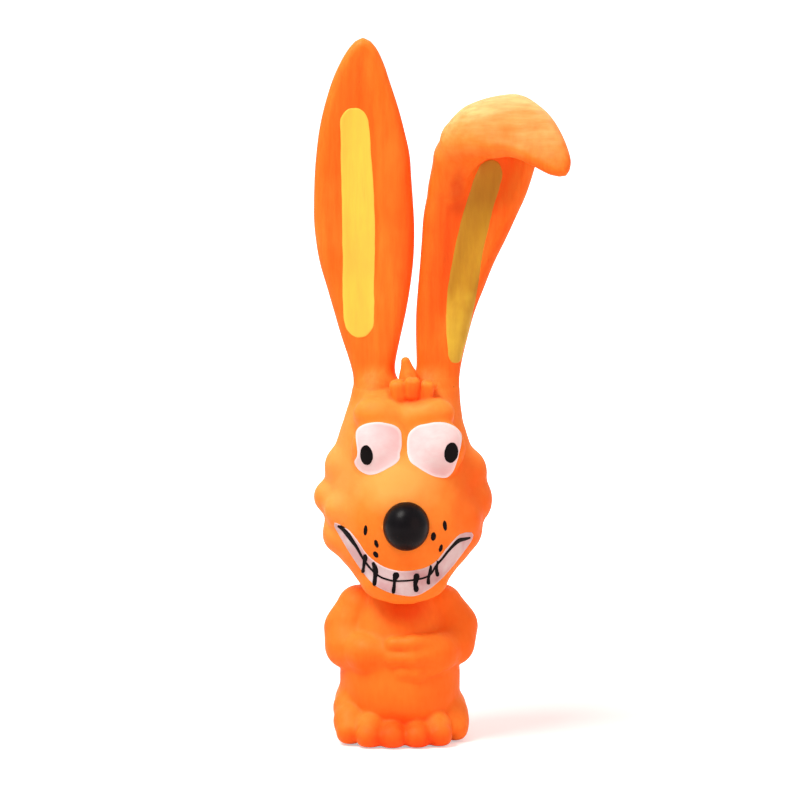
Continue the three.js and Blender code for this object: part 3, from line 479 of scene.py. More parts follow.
foldedEar = {
    "rows": [
        (112.0, 12.4, 6.4), (118.0, 12.7, 7.2), (124.0, 12.9, 7.4), (130.0, 13.4, 7.8), (138.4, 14.3, 8.9),
        (146.7, 15.5, 10.0), (155.0, 17.4, 11.3), (163.3, 19.4, 12.6), (171.5, 21.7, 14.3),
        (179.8, 23.9, 15.9), (188.1, 26.5, 16.9), (199.6, 29.5, 17.1), (207.0, 30.4, 15.6),
        (213.0, 30.5, 11.1), (220.0, 31.0, 10.6), (227.6, 32.2, 12.6), (232.0, 33.4, 12.4),
        (237.4, 36.6, 9.2), (243.6, 38.0, 6.9), (249.4, 38.6, 4.6), (252.4, 38.8, 2.2),
    ],
    "middle": 2.0, "half": 4.0, "dish": 2.8, "rimWidth": 2.4, "dishWidth": 9.0, "dishFoot": (132.0, 152.0),
    "dishEase": 2.0, "taper": 1.2, "taperFrom": (218.0, 250.0),
    "cell": 0.66, "low": (3.6, -30.0, 118.0), "high": (62.0, 9.0, 226.0), "bendSpan": 11.5, "split": 165.0,
    # the roll that folds the top forwards, about a line that climbs to the rabbit's left
    "foldStart": (11.9, 202.7), "foldClimb": 17.0, "foldRadius": 6.0, "foldTurn": 150.0, "lap": 0.5,
    "web": 12.0,
    # the thick rim on the viewer's left, which runs up and over into the hood, and the hood's filled corner
    "rim": [(15.4, 1.5, 190.0, 4.0), (16.8, -2.0, 200.6, 4.7), (19.2, -5.2, 205.4, 5.2),
            (25.0, -9.4, 206.8, 4.8), (31.0, -12.4, 205.8, 3.4)],
    "fill": [(18.6, 0.6, 190.0, 2.4), (20.6, -2.6, 197.0, 3.6), (24.4, -6.2, 202.6, 3.6)],
    "dome": ((31.0, -5.0, 211.8), (15.5, 8.8, 8.8), 17.0),
    "ballJoin": 2.0, "rimJoin": 4.0, "fillJoin": 7.0,
    "tipFrom": -2.6, "tipTo": -12.0,
}


def leafOutline(ear):
    rows = smoothLine(ear["rows"], 70)
    left = np.stack([rows[:, 1] - rows[:, 2], rows[:, 0]], axis=1)
    right = np.stack([rows[:, 1] + rows[:, 2], rows[:, 0]], axis=1)
    top = np.array([[rows[-1, 1], rows[-1, 0] + 0.5 * rows[-1, 2]]])
    return np.vstack([left, top, right[::-1]])


# Distance to a closed outline in the plane seen from the front, below zero inside
def outlineGap(x, z, outline):
    x, z = np.broadcast_arrays(x, z)
    nearest = np.full(x.shape, 1e9)
    inside = np.zeros(x.shape, bool)
    for (ax, az), (bx, bz) in zip(outline, np.roll(outline, -1, axis=0)):
        lx, lz = bx - ax, bz - az
        along = np.clip(((x - ax) * lx + (z - az) * lz) / (lx * lx + lz * lz), 0, 1)
        nearest = np.minimum(nearest, (x - ax - along * lx) ** 2 + (z - az - along * lz) ** 2)
        if az != bz:
            inside ^= ((az > z) != (bz > z)) & (x < (bx - ax) * (z - az) / (bz - az) + ax)
    return np.where(inside, -1, 1) * np.sqrt(nearest)


# The same distance read from a fine sheet of values, which is quicker for many points
def gapSheet(outline, margin=10.0, cell=0.25):
    low, high = outline.min(axis=0) - margin, outline.max(axis=0) + margin
    lines = [np.arange(a, b + cell, cell) for a, b in zip(low, high)]
    sheet = outlineGap(lines[0][:, None], lines[1][None, :], outline)

    def gap(x, z):
        u, v = (x - low[0]) / cell, (z - low[1]) / cell
        cu, cv = np.clip(u, 0, len(lines[0]) - 1.001), np.clip(v, 0, len(lines[1]) - 1.001)
        iu, iv = cu.astype(int), cv.astype(int)
        fu, fv = cu - iu, cv - iv
        near = sheet[iu, iv] * (1 - fu) * (1 - fv) + sheet[iu + 1, iv] * fu * (1 - fv)
        near = near + sheet[iu, iv + 1] * (1 - fu) * fv + sheet[iu + 1, iv + 1] * fu * fv
        return near + cell * np.sqrt((u - cu) ** 2 + (v - cv) ** 2)

    return gap


def stepSoft(value, low, high):
    share = np.clip((value - low) / (high - low), 0, 1)
    return share * share * (3 - 2 * share)


def leafField(ear):
    sheet = gapSheet(leafOutline(ear))

    def field(x, y, z):
        gap = sheet(x, z)
        half = ear["half"] - ear["taper"] * stepSoft(z, *ear["taperFrom"])
        out, thick = gap + half, np.abs(y - ear["middle"])
        body = np.sqrt(np.maximum(out, 0) ** 2 + thick ** 2) - half
        body = np.where(out > 0, body, thick - half)
        dish = ear["dish"] * stepSoft(-gap, ear["rimWidth"], ear["rimWidth"] + ear["dishWidth"])
        dish = dish * stepSoft(z, *ear["dishFoot"])
        if "rib" in ear:
            rib = ear["rib"]
            crest = rib["height"] * np.exp(-((x - rib["place"]) / rib["width"]) ** 2)
            dish = dish - crest * stepSoft(-gap, *rib["fade"])
        front = stepSoft(ear["middle"] - y, 0.0, ear["dishEase"])
        return body + dish * front

    return field


# The flat leaf rolled forwards at its fold: blade, roll and flap, with a web of latex inside the fold
def rolledField(ear, flat):
    climb, turn, radius = math.radians(ear["foldClimb"]), math.radians(ear["foldTurn"]), ear["foldRadius"]
    startX, startZ = ear["foldStart"]
    c, s = math.cos(climb), math.sin(climb)

    def field(x, y, z):
        dx, out, dz = x - startX, y - ear["middle"], z - startZ
        side, rise = dx * c + dz * s, dz * c - dx * s

        def unrolled(along, away):
            return flat(startX + side * c - along * s, ear["middle"] + away, startZ + side * s + along * c)

        blade = np.maximum(flat(x, y, z), rise - ear["lap"])
        far = np.sqrt((out + radius) ** 2 + rise ** 2)
        angle = np.arctan2(rise, out + radius)
        angle = np.where(angle < turn / 2 - math.pi, angle + 2 * math.pi, angle)
        over = np.maximum(-angle, angle - turn) * far - ear["lap"]
        roll = np.maximum(unrolled(np.clip(angle, 0, turn) * radius, far - radius), over)
        up, back = rise - radius * math.sin(turn), out + radius - radius * math.cos(turn)
        rest = up * math.cos(turn) - back * math.sin(turn)
        away = up * math.sin(turn) + back * math.cos(turn)
        flap = np.maximum(unrolled(radius * turn + rest, away), -rest - ear["lap"])
        form = np.minimum(joinSoft(blade, flap, ear["web"]), roll)
        form = joinSoft(form, limb(x, y, z, ear["rim"], ear["ballJoin"]), ear["rimJoin"])
        form = joinSoft(form, limb(x, y, z, ear["fill"], ear["ballJoin"]), ear["fillJoin"])
        return joinSoft(form, egg(x, y, z, *ear["dome"]), ear["rimJoin"])

    return field


straightLeaf = leafField(straightEar)
foldedLeaf = rolledField(foldedEar, leafField(foldedEar))
# Where the ears' pieces meet the head's: the seam's height, how near to it faces are cut, how far above it
# the ears stand apart, and the line between their roots
earJoin = {"width": 5.5, "seam": 124.5, "near": 3.0, "apart": 5.0, "between": 2.0, "cover": 0.12}


def straightField(x, y, z):
    return joinSoft(faceField(x, y, z), straightLeaf(x, y, z), earJoin["width"])


def foldedField(x, y, z):
    return joinSoft(faceField(x, y, z), foldedLeaf(x, y, z), earJoin["width"])


def headField(x, y, z):
    form = joinSoft(faceField(x, y, z), straightLeaf(x, y, z), earJoin["width"])
    form = joinSoft(form, foldedLeaf(x, y, z), earJoin["width"])
    return joinSoft(form, tuftField(x, y, z), headShape["tuftJoin"])


# Body: the egg of the belly and chest, haunches, toes, arms, fingers and tail
bodyShape = {
    "rows": [
        (0.0, 11.5, 11.5, 15.9), (1.6, 13.5, 13.3, 17.0), (6.4, 16.4, 15.9, 18.1), (13.2, 19.7, 18.1, 18.5),
        (21.2, 20.5, 18.9, 18.5), (27.6, 19.9, 18.5, 18.5), (34.5, 18.4, 17.0, 17.4),
        (43.5, 15.2, 13.7, 14.8), (49.8, 11.9, 10.0, 12.6), (53.0, 9.4, 7.4, 10.4),
    ],
    "neck": ((0.0, 2.0, 54.0), (12.3, 12.3, 12.3)),
    "haunches": [((-15.9, 3.0, 9.6), (6.2, 14.5, 12.2), -2), ((16.4, 3.0, 7.2), (6.5, 14.5, 10.4), 4)],
    "belly": ((0.2, -1.0, 15.0), (18.4, 19.3, 14.8)),
    "toes": [
        [(-15.8, 3.0, 12.0, 6.2), (-16.4, -5.0, 10.8, 5.9), (-16.8, -11.4, 7.2, 5.4),
         (-17.0, -15.6, 4.4, 4.8)],
        [(-10.0, -9.0, 8.4, 4.4), (-10.2, -16.0, 6.0, 4.5), (-10.3, -20.6, 3.6, 4.7)],
        [(-3.4, -11.0, 3.8, 3.8), (-3.0, -17.0, 3.8, 4.6), (-2.7, -21.2, 3.2, 4.7)],
        [(5.0, -11.0, 3.8, 3.8), (5.4, -16.0, 3.8, 4.6), (5.8, -20.6, 3.2, 4.6)],
        [(11.0, -8.0, 8.4, 4.4), (12.4, -14.0, 6.0, 4.5), (13.2, -18.4, 3.6, 4.6)],
        [(16.0, 2.0, 9.8, 6.2), (17.2, -3.0, 8.2, 5.6), (18.0, -6.6, 6.0, 5.1), (18.6, -9.2, 4.2, 4.5)],
    ],
    "arms": [
        [(-13.9, 1.0, 44.5, 7.8), (-17.5, 0.0, 37.4, 7.8), (-18.0, -4.0, 31.9, 6.9),
         (-11.5, -12.0, 31.0, 5.8), (-4.0, -14.2, 30.8, 4.9)],
        [(13.9, 1.0, 44.8, 7.8), (18.0, 0.0, 38.2, 7.9), (17.8, -4.0, 33.0, 7.0), (12.6, -12.0, 31.4, 6.4),
         (6.0, -14.3, 30.6, 5.9)],
    ],
    "fingers": [
        [(12.0, -14.8, 35.0, 2.8), (4.5, -17.2, 34.9, 3.0), (-2.4, -16.9, 34.7, 2.5)],
        [(12.0, -15.4, 30.8, 2.9), (4.5, -17.8, 30.0, 3.0), (-2.8, -17.5, 29.9, 2.6)],
        [(12.0, -14.8, 27.4, 2.8), (5.5, -17.0, 25.2, 3.0), (0.8, -17.0, 24.9, 2.7)],
    ],
    "tail": ((0.0, 20.9, 11.2), (5.0, 4.8, 5.0)),
    # the room that is left for the squeaker: its hole in the base, a wider chamber and the well above it
    "hole": {"setBack": 4.6, "radius": 7.15, "lip": 1.8, "chamber": 9.2, "chamberTop": 11.0, "well": 4.4,
             "wellTop": 24.4},
    # how softly each part runs into the next, then the body's top and bottom edges
    "joins": {"neck": 2.5, "belly": 3.0, "toeBalls": 2.2, "toes": 1.8, "haunches": 1.4, "feet": 1.5,
              "armBalls": 3.0, "armPair": 1.5, "arms": 1.8, "fingerBalls": 1.0, "fingers": 1.3,
              "tail": 1.2},
    "cap": 1.4, "baseEdge": 1.4,
    "cell": 0.6, "low": (-27.0, -26.5, -1.2), "high": (27.0, 28.0, 68.0),
}


def bodyField(x, y, z):
    joins = bodyShape["joins"]
    form = uprightForm(x, y, z, bodyShape["rows"], 0.0, bodyShape["cap"])
    for part in ("neck", "belly"):
        form = joinSoft(form, egg(x, y, z, *bodyShape[part]), joins[part])
    toes = [limb(x, y, z, toe, joins["toeBalls"]) for toe in bodyShape["toes"]]
    feet = toes[0]
    for toe in toes[1:]:
        feet = joinSoft(feet, toe, joins["toes"])
    for haunch in bodyShape["haunches"]:
        feet = joinSoft(feet, egg(x, y, z, *haunch), joins["haunches"])
    form = joinSoft(form, feet, joins["feet"])
    arms = joinSoft(*(limb(x, y, z, arm, joins["armBalls"]) for arm in bodyShape["arms"]), joins["armPair"])
    form = joinSoft(form, arms, joins["arms"])
    for finger in bodyShape["fingers"]:
        form = joinSoft(form, limb(x, y, z, finger, joins["fingerBalls"]), joins["fingers"])
    form = joinSoft(form, egg(x, y, z, *bodyShape["tail"]), joins["tail"])
    form = cutSoft(form, z, bodyShape["baseEdge"])
    hole = bodyShape["hole"]
    out = np.sqrt(x * x + (y - hole["setBack"]) ** 2)
    bore = np.maximum(out - hole["radius"], z - hole["chamberTop"])
    chamber = np.maximum(out - hole["chamber"], np.maximum(hole["lip"] - z, z - hole["chamberTop"]))
    well = np.maximum(out - hole["well"], np.maximum(hole["lip"] - z, z - hole["wellTop"]))
    return np.maximum(form, -np.minimum(np.minimum(bore, chamber), well))


# The square of the back that gives way, and how far back its faces lie: behind the squeaker's well, and
# further forward beside it, where the back curves round
backPanel = {"half": 14.0, "height": 30.0, "margin": 1.5, "cutFrom": 1.0, "behindWell": 11.0,
             "besideWell": 2.0, "wellHalf": 6.0, "blendDepth": 15.0}


def makeBody():
    points, faces = netOver(bodyField, bodyShape["low"], bodyShape["high"], bodyShape["cell"])
    mesh = meshFrom(points, faces, bendOf(bodyField, points))
    half, height = backPanel["half"], backPanel["height"]

    def inSquare(c, size):
        return abs(c.x) < size and abs(c.z - height) < size

    def nearBack(c):
        return c.y > backPanel["cutFrom"] and inSquare(c, half + backPanel["margin"])

    def inPanel(c):
        beside = c.y > backPanel["besideWell"] and abs(c.x) > backPanel["wellHalf"]
        return (beside or c.y > backPanel["behindWell"]) and inSquare(c, half)

    for place, facing in (((half, 0, 0), (1, 0, 0)), ((-half, 0, 0), (1, 0, 0)),
                          ((0, 0, height + half), (0, 0, 1)), ((0, 0, height - half), (0, 0, 1)),
                          ((0, 0, height), (1, 0, 1)), ((0, 0, height), (1, 0, -1))):
        cutAcross(mesh, place, facing, nearBack)
    body = pieceFrom(mesh, "body", lambda c: not inPanel(c))
    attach(body, "body")
    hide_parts("body_skin", "right_arm", "left_arm", "right_foot", "left_foot", "tail")
    # four sectors that meet at the panel's middle, each with the way from there to its rim
    sectors = {
        "backTop": (lambda c: c.z - height >= abs(c.x), (0, 0, 1)),
        "backFoot": (lambda c: height - c.z > abs(c.x), (0, 0, -1)),
        "backLeft": (lambda c: c.x > abs(c.z - height), (1, 0, 0)),
        "backRight": (lambda c: -c.x > abs(c.z - height), (-1, 0, 0)),
    }
    pieces = [body]
    for name, (chosen, way) in sectors.items():
        sector = pieceFrom(mesh, name, lambda c, chosen=chosen: inPanel(c) and chosen(c))
        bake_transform(sector)
        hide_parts("squeeze_panel")
        pieces.append(sector)
    mesh.free()
    return pieces


bodyPieces = makeBody()
print("body ready")


def makeHead():
    points, faces = netOver(headField, headShape["low"], headShape["high"], headShape["cell"])
    mesh = meshFrom(points, faces, bendOf(headField, points))
    seam = earJoin["seam"]
    mesh.verts.ensure_lookup_table()
    x, y, z = np.array([v.co[:] for v in mesh.verts]).T
    apart = np.minimum(np.abs(straightField(x, y, z)), np.abs(foldedField(x, y, z)))
    earGap = mesh.verts.layers.float.new("earGap")
    for vert, value in zip(mesh.verts, apart):
        vert[earGap] = value
    cutAcross(mesh, (0, 0, seam), (0, 0, 1), lambda c: abs(c.z - seam) < earJoin["near"])
    # above the seam the head keeps only what neither ear's own piece covers
    kept = [f for f in mesh.faces
            if f.calc_center_median().z < seam or max(v[earGap] for v in f.verts) > earJoin["cover"]]
    head = pieceFrom(mesh, "head", chosen=kept)
    mesh.free()
    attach(head, "head")
    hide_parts("head_skin", "hair_tuft")
    return head


headPiece = makeHead()
print("head ready")


def makeEar(ear, field):
    points, faces = netOver(field, ear["low"], ear["high"], ear["cell"])
    mesh = meshFrom(points, faces, bendOf(field, points))
    for height in (earJoin["seam"], ear.get("split")):
        if height:
            cutAcross(mesh, (0, 0, height), (0, 0, 1), lambda c: abs(c.z - height) < earJoin["near"])
    return mesh


# An ear's lower piece at its root and the folded ear's upper piece at the fold: each has its placing baked
# into its mesh
def blendRoot(piece):
    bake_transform(piece)


def blendTip(piece):
    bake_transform(piece)


def makeStraightEar():
    mesh = makeEar(straightEar, straightField)
    seam, apart = earJoin["seam"], earJoin["seam"] + earJoin["apart"]
    between = earJoin["between"]
    piece = pieceFrom(mesh, "straightEar", lambda c: c.z > apart or (c.z > seam and c.x < between))
    mesh.free()
    blendRoot(piece)
    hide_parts("straight_ear")
    return piece


def makeFoldedEar():
    mesh = makeEar(foldedEar, foldedField)
    seam, split = earJoin["seam"], foldedEar["split"]
    lower = pieceFrom(mesh, "foldedEar", lambda c: seam < c.z < split and c.x > earJoin["between"])
    upper = pieceFrom(mesh, "foldedEarTop", lambda c: c.z > split)
    mesh.free()
    blendRoot(lower)
    blendTip(upper)
    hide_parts("folded_ear")
    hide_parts("folded_ear", "folded_ear_tip")
    return lower, upper


straightEarPiece = makeStraightEar()
foldedEarPiece, foldedTopPiece = makeFoldedEar()
print("ears ready")

# Nose: a ball of black paint over the snout, a little flat behind
noseShape = {"centre": (2.1, -25.2, 77.0), "radii": (7.9, 7.9, 8.4), "flatAt": -19.0, "flatEdge": 1.0,
             "cell": 0.45, "margin": 1.4}


def noseField(x, y, z):
    ball = egg(x, y, z, noseShape["centre"], noseShape["radii"])
    return cutSoft(ball, noseShape["flatAt"] - y, noseShape["flatEdge"])


def makeNose():
    reach = [r + noseShape["margin"] for r in noseShape["radii"]]
    low = [c - r for c, r in zip(noseShape["centre"], reach)]
    high = [c + r for c, r in zip(noseShape["centre"], reach)]
    points, faces = netOver(noseField, low, high, noseShape["cell"])
    mesh = meshFrom(points, faces, bendOf(noseField, points))
    nose = pieceFrom(mesh, "nose")
    mesh.free()
    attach(nose, "head")
    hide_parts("nose")
    return nose


nosePiece = makeNose()

# Eyes: the white paint covers each raised bulge, in the outline that the photograph shows
eyePaint = {
    "right": [(356.5, 430.4), (359.4, 426.7), (365, 424), (372, 422.6), (379, 422), (385.8, 423),
              (392.6, 424.6), (398.4, 428), (401.3, 432.7), (401.8, 440), (401.6, 447.6), (400, 453.3),
              (399.6, 459), (395, 464.2), (389, 467.7), (383.5, 471), (376.6, 474), (369.7, 475),
              (364, 473.4), (358.2, 469.4), (355, 464.8), (354.6, 461.4), (357, 456.2), (357.3, 450),
              (356, 440.7), (355.7, 435)],
    "left": [(407, 448.7), (407, 443), (407.6, 437.3), (409.3, 432.7), (413.3, 428.6), (419, 425.2),
             (426, 423.5), (436.3, 422), (445.5, 422.6), (453.5, 425.8), (459.8, 431), (461.8, 437.3),
             (461, 445.3), (459.2, 453.3), (457.5, 460.2), (455.2, 467), (452.4, 472.8), (447.8, 477.2),
             (442, 477.7), (434, 476.3), (426, 472.8), (418, 467.7), (411, 462.5), (407.6, 455.6)],
    "raised": 0.22, "seed": {"right": 5, "left": 4},
}
# Pupils: place, half width, half height and lean of each in the photograph
pupilPaint = {
    "right": (366.7, 455.0, 6.3, 10.0, -6.0),
    "left": (451.0, 452.6, 6.9, 10.3, 9.0),
    "raised": 0.42, "shake": 0.3, "seed": 3,
}


def makeEyes():
    painted = {}
    for side in ("right", "left"):
        white = paintSpot(side + "Eye", faceField, eyePaint[side], eyePaint["raised"], rings=14, count=110,
                          seed=eyePaint["seed"][side])
        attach(white, "head")
        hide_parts(side + "_eye")
        pupil = paintSpot(side + "Pupil", faceField, ellipseLine(*pupilPaint[side]), pupilPaint["raised"],
                          shake=pupilPaint["shake"], seed=pupilPaint["seed"])
        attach(pupil, "head")
        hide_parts(side + "_pupil")
        painted[side] = (white, pupil)
    return painted


eyePieces = makeEyes()

# Grin: the white band between two lines of pixels, the black line across it and the gaps that run from it
grinPaint = {
    "upper": [(334.4, 522.6), (340, 524.6), (348, 529.4), (353, 534.6), (358, 541), (366, 553), (376, 562),
              (389.5, 568.6), (406, 571), (423, 568.2), (436, 561), (447.5, 547), (457.5, 536),
              (465, 532.6), (472, 532.5)],
    "lower": [(334.2, 524.6), (336.6, 530), (343, 541.4), (351, 554.6), (363, 572), (373, 584),
              (386, 591.4), (398, 595), (413, 596.4), (424, 592.6), (439, 581.4), (452.5, 566.4),
              (464, 551), (470.6, 541.6), (473.4, 534.6)],
    "raised": 0.26, "shake": 0.25, "upperSeed": 5, "lowerSeed": 8, "count": 150, "across": 11,
    # the black lines lie on the white band, each as pixels with a half width
    "lineRaised": 0.42, "gapRaised": 0.45,
    "line": [(337.6, 525.0, 1.2), (343, 528.6, 2.3), (348.4, 534.6, 3.1), (353, 541, 2.6),
             (357.2, 547, 1.9), (363, 557.4, 1.4), (370, 567, 1.3), (379.5, 576, 1.3), (388, 579.6, 1.25),
             (396, 581, 1.2), (413, 580, 1.2), (428, 576, 1.25), (436, 565, 1.3), (441.6, 558.6, 1.4),
             (447.5, 551, 1.6), (453, 545, 2.0), (458.4, 540.4, 2.7), (464, 538.8, 2.2),
             (470.8, 537.0, 0.9)],
    "gaps": [
        [(365.0, 553.6, 1.6), (365.6, 558.0, 2.8), (364.6, 563, 2.0), (364, 567.4, 1.6),
         (363.6, 570.4, 2.3), (363.4, 573.0, 1.4)],
        [(373, 561.4, 1.4), (375, 566.8, 2.9), (376, 572, 3.3), (375.4, 578, 2.4), (375, 582, 2.6),
         (374.4, 586.0, 1.8)],
        [(395.6, 571.8, 3.9), (396, 575.4, 4.2), (395, 579, 2.6), (394.4, 584, 1.8), (393.8, 589.6, 2.3),
         (393.3, 593.6, 2.0)],
        [(417, 573, 3.1), (416.4, 576.8, 3.7), (415.6, 581, 3.0), (415.2, 585, 2.5), (416, 588.6, 3.2),
         (415.8, 592.0, 2.6)],
        [(430.8, 565, 1.0), (430, 570, 1.9), (428.6, 576, 1.6), (428, 580.4, 2.0), (428.3, 584.8, 2.2)],
        [(437.6, 560.2, 1.3), (436.6, 565.6, 1.3), (436.2, 570, 1.9), (436.8, 573.6, 2.3),
         (437, 576.8, 1.4)],
    ],
}


def makeGrin():
    count, across = grinPaint["count"], grinPaint["across"]
    upper, lower = smoothLine(grinPaint["upper"], count), smoothLine(grinPaint["lower"], count)
    upper[:, 1] += grinPaint["shake"] * wobble(count, 1.0, grinPaint["upperSeed"])
    lower[:, 1] += grinPaint["shake"] * wobble(count, 1.0, grinPaint["lowerSeed"])
    shares = (1 - np.cos(np.linspace(0, math.pi, across))) / 2
    pixels = np.stack([upper * (1 - s) + lower * s for s in shares])
    band = paintCoat("toothBand", faceField, pixels, across, count, grinPaint["raised"], False)
    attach(band, "head")
    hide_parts("teeth")
    strokes = [paintStroke("toothLine", faceField, grinPaint["line"], grinPaint["lineRaised"], count=170,
                           across=7, shake=0.12)]
    for number, gap in enumerate(grinPaint["gaps"]):
        strokes.append(paintStroke(f"toothGap{number + 1}", faceField, gap, grinPaint["gapRaised"],
                                   count=40, across=9, shake=0.15, seed=number))
    for stroke in strokes:
        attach(stroke, "head")
    return band, strokes


bandPiece, strokePieces = makeGrin()

# Freckles: place, half width, half height and lean of each in the photograph
freckles = {
    "spots": [(365.5, 530.3, 1.9, 5.3, 4), (376.4, 543.8, 2.0, 4.2, -18), (375.8, 554.5, 2.3, 3.6, -34),
              (444.9, 525.6, 2.0, 5.3, -6), (433.4, 536.5, 2.6, 4.4, 6), (440.8, 548.2, 1.8, 4.0, 16)],
    "raised": 0.14, "shake": 0.2, "firstSeed": 20,
}


def makeFreckles():
    made = []
    for number, place in enumerate(freckles["spots"]):
        spot = paintSpot(f"freckle{number + 1}", faceField, ellipseLine(*place), freckles["raised"],
                         rings=6, count=40, shake=freckles["shake"], seed=freckles["firstSeed"] + number)
        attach(spot, "head")
        made.append(spot)
    return made


frecklePieces = makeFreckles()

# Stripes: a broad brush line down each ear, as pixels with a half width
stripes = {
    "straight": [(353.6, 107.6, 14.0), (354.2, 122, 14.8), (355.4, 140, 15.6), (356.6, 170, 16.6),
                 (357.8, 200, 17.0), (358.6, 230, 17.2), (358.6, 260, 17.0), (358.2, 290, 16.6),
                 (358.6, 312, 16.2), (359.8, 326, 15.0), (361.4, 337.8, 12.4)],
    "folded": [(495.6, 160.4, 9.0), (491.4, 170, 12.6), (486.6, 184, 14.0), (480, 205, 14.6),
               (474, 228, 14.8), (468, 255, 15.0), (464, 280, 15.6), (460.4, 305, 14.8), (457.6, 330, 11.8),
               (455.6, 350, 8.4), (455, 363.4, 6.0)],
    # the rays start behind the hood, which hides the top of the folded ear's stripe
    "startDepth": -9.0, "raised": 0.2, "shake": 0.5,
}


def makeStripes():
    straight = paintStroke("straightStripe", straightField, stripes["straight"], stripes["raised"],
                           count=120, across=21, shake=stripes["shake"], seed=4,
                           startDepth=stripes["startDepth"])
    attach(straight, "straight_ear")
    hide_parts("straight_ear_stripe")
    folded, foldedTop = paintStroke("foldedStripe", foldedField, stripes["folded"], stripes["raised"],
                                    count=130, across=23, shake=stripes["shake"], seed=9,
                                    startDepth=stripes["startDepth"], split=foldedEar["split"])
    blendRoot(folded)
    blendTip(foldedTop)
    for piece in (folded, foldedTop):
        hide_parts("folded_ear_stripe")
    return straight, folded, foldedTop


straightStripePiece, foldedStripePiece, foldedStripeTopPiece = makeStripes()
print("paint ready")


# Shader groups: effects that several materials share
def newGroup(name, inputs, outputs):
    tree = bpy.data.node_groups.new(name, "ShaderNodeTree")
    for label, kind, value in inputs:
        socket = tree.interface.new_socket(name=label, in_out="INPUT", socket_type=kind)
        socket.default_value = value
    for label, kind in outputs:
        tree.interface.new_socket(name=label, in_out="OUTPUT", socket_type=kind)
    return tree, tree.nodes.new("NodeGroupInput"), tree.nodes.new("NodeGroupOutput")


def addNode(tree, kind, **settings):
    node = tree.nodes.new(kind)
    for key, value in settings.items():
        setattr(node, key, value)
    return node


def noiseAt(tree, vector, scale, detail=3.0, roughness=0.55):
    node = addNode(tree, "ShaderNodeTexNoise")
    tree.links.new(vector, node.inputs["Vector"])
    node.inputs["Scale"].default_value = scale
    node.inputs["Detail"].default_value = detail
    node.inputs["Roughness"].default_value = roughness
    return node.outputs[0]


def mapped(tree, value, fromLow, fromHigh, toLow=0.0, toHigh=1.0):
    node = addNode(tree, "ShaderNodeMapRange")
    tree.links.new(value, node.inputs["Value"])
    for label, amount in (("From Min", fromLow), ("From Max", fromHigh), ("To Min", toLow),
                          ("To Max", toHigh)):
        node.inputs[label].default_value = amount
    return node.outputs["Result"]


def mathOf(tree, operation, a, b):
    node = addNode(tree, "ShaderNodeMath", operation=operation)
    for socket, value in zip(node.inputs, (a, b)):
        if isinstance(value, (int, float)):
            socket.default_value = value
        else:
            tree.links.new(value, socket)
    return node.outputs[0]


def blendColour(tree, share, a, b):
    node = addNode(tree, "ShaderNodeMix", data_type="RGBA")
    for socket, value in ((node.inputs[0], share), (node.inputs[6], a), (node.inputs[7], b)):
        if isinstance(value, tuple):
            socket.default_value = value
        else:
            tree.links.new(value, socket)
    return node.outputs[2]


# A colour as it is picked on a screen, turned into the values that Blender works with
def linear(red, green, blue):
    shares = [value / 255 for value in (red, green, blue)]
    return tuple(v / 12.92 if v <= 0.04045 else ((v + 0.055) / 1.055) ** 2.4 for v in shares) + (1.0,)


noiseSpan = (0.3, 0.7)  # most values of a noise lie between these
# How often the latex's patterns repeat in a metre, and the values between which each comes in
latexLook = {
    "cloudScale": 42, "cloudRange": (0.36, 0.66), "strokeScale": 620, "strokeRange": (0.34, 0.68),
    "strokeShare": 0.5, "grainScale": 1500, "grainShare": 0.25, "topHighlightRange": (0.05, 0.8),
    "creaseShadeRange": (-0.12, -0.9), "rimRange": (0.28, 0.85), "rimHighlightShare": 0.35, "speckScale": 150,
    "speckRange": (0.035, 0.02), "speckPlaceScale": 95, "speckPlaceRange": (0.6, 0.64), "speckShare": 0.75,
    "speckColour": (0.2, 0.03, 0.004, 1), "roughness": (0.5, 0.66),
}
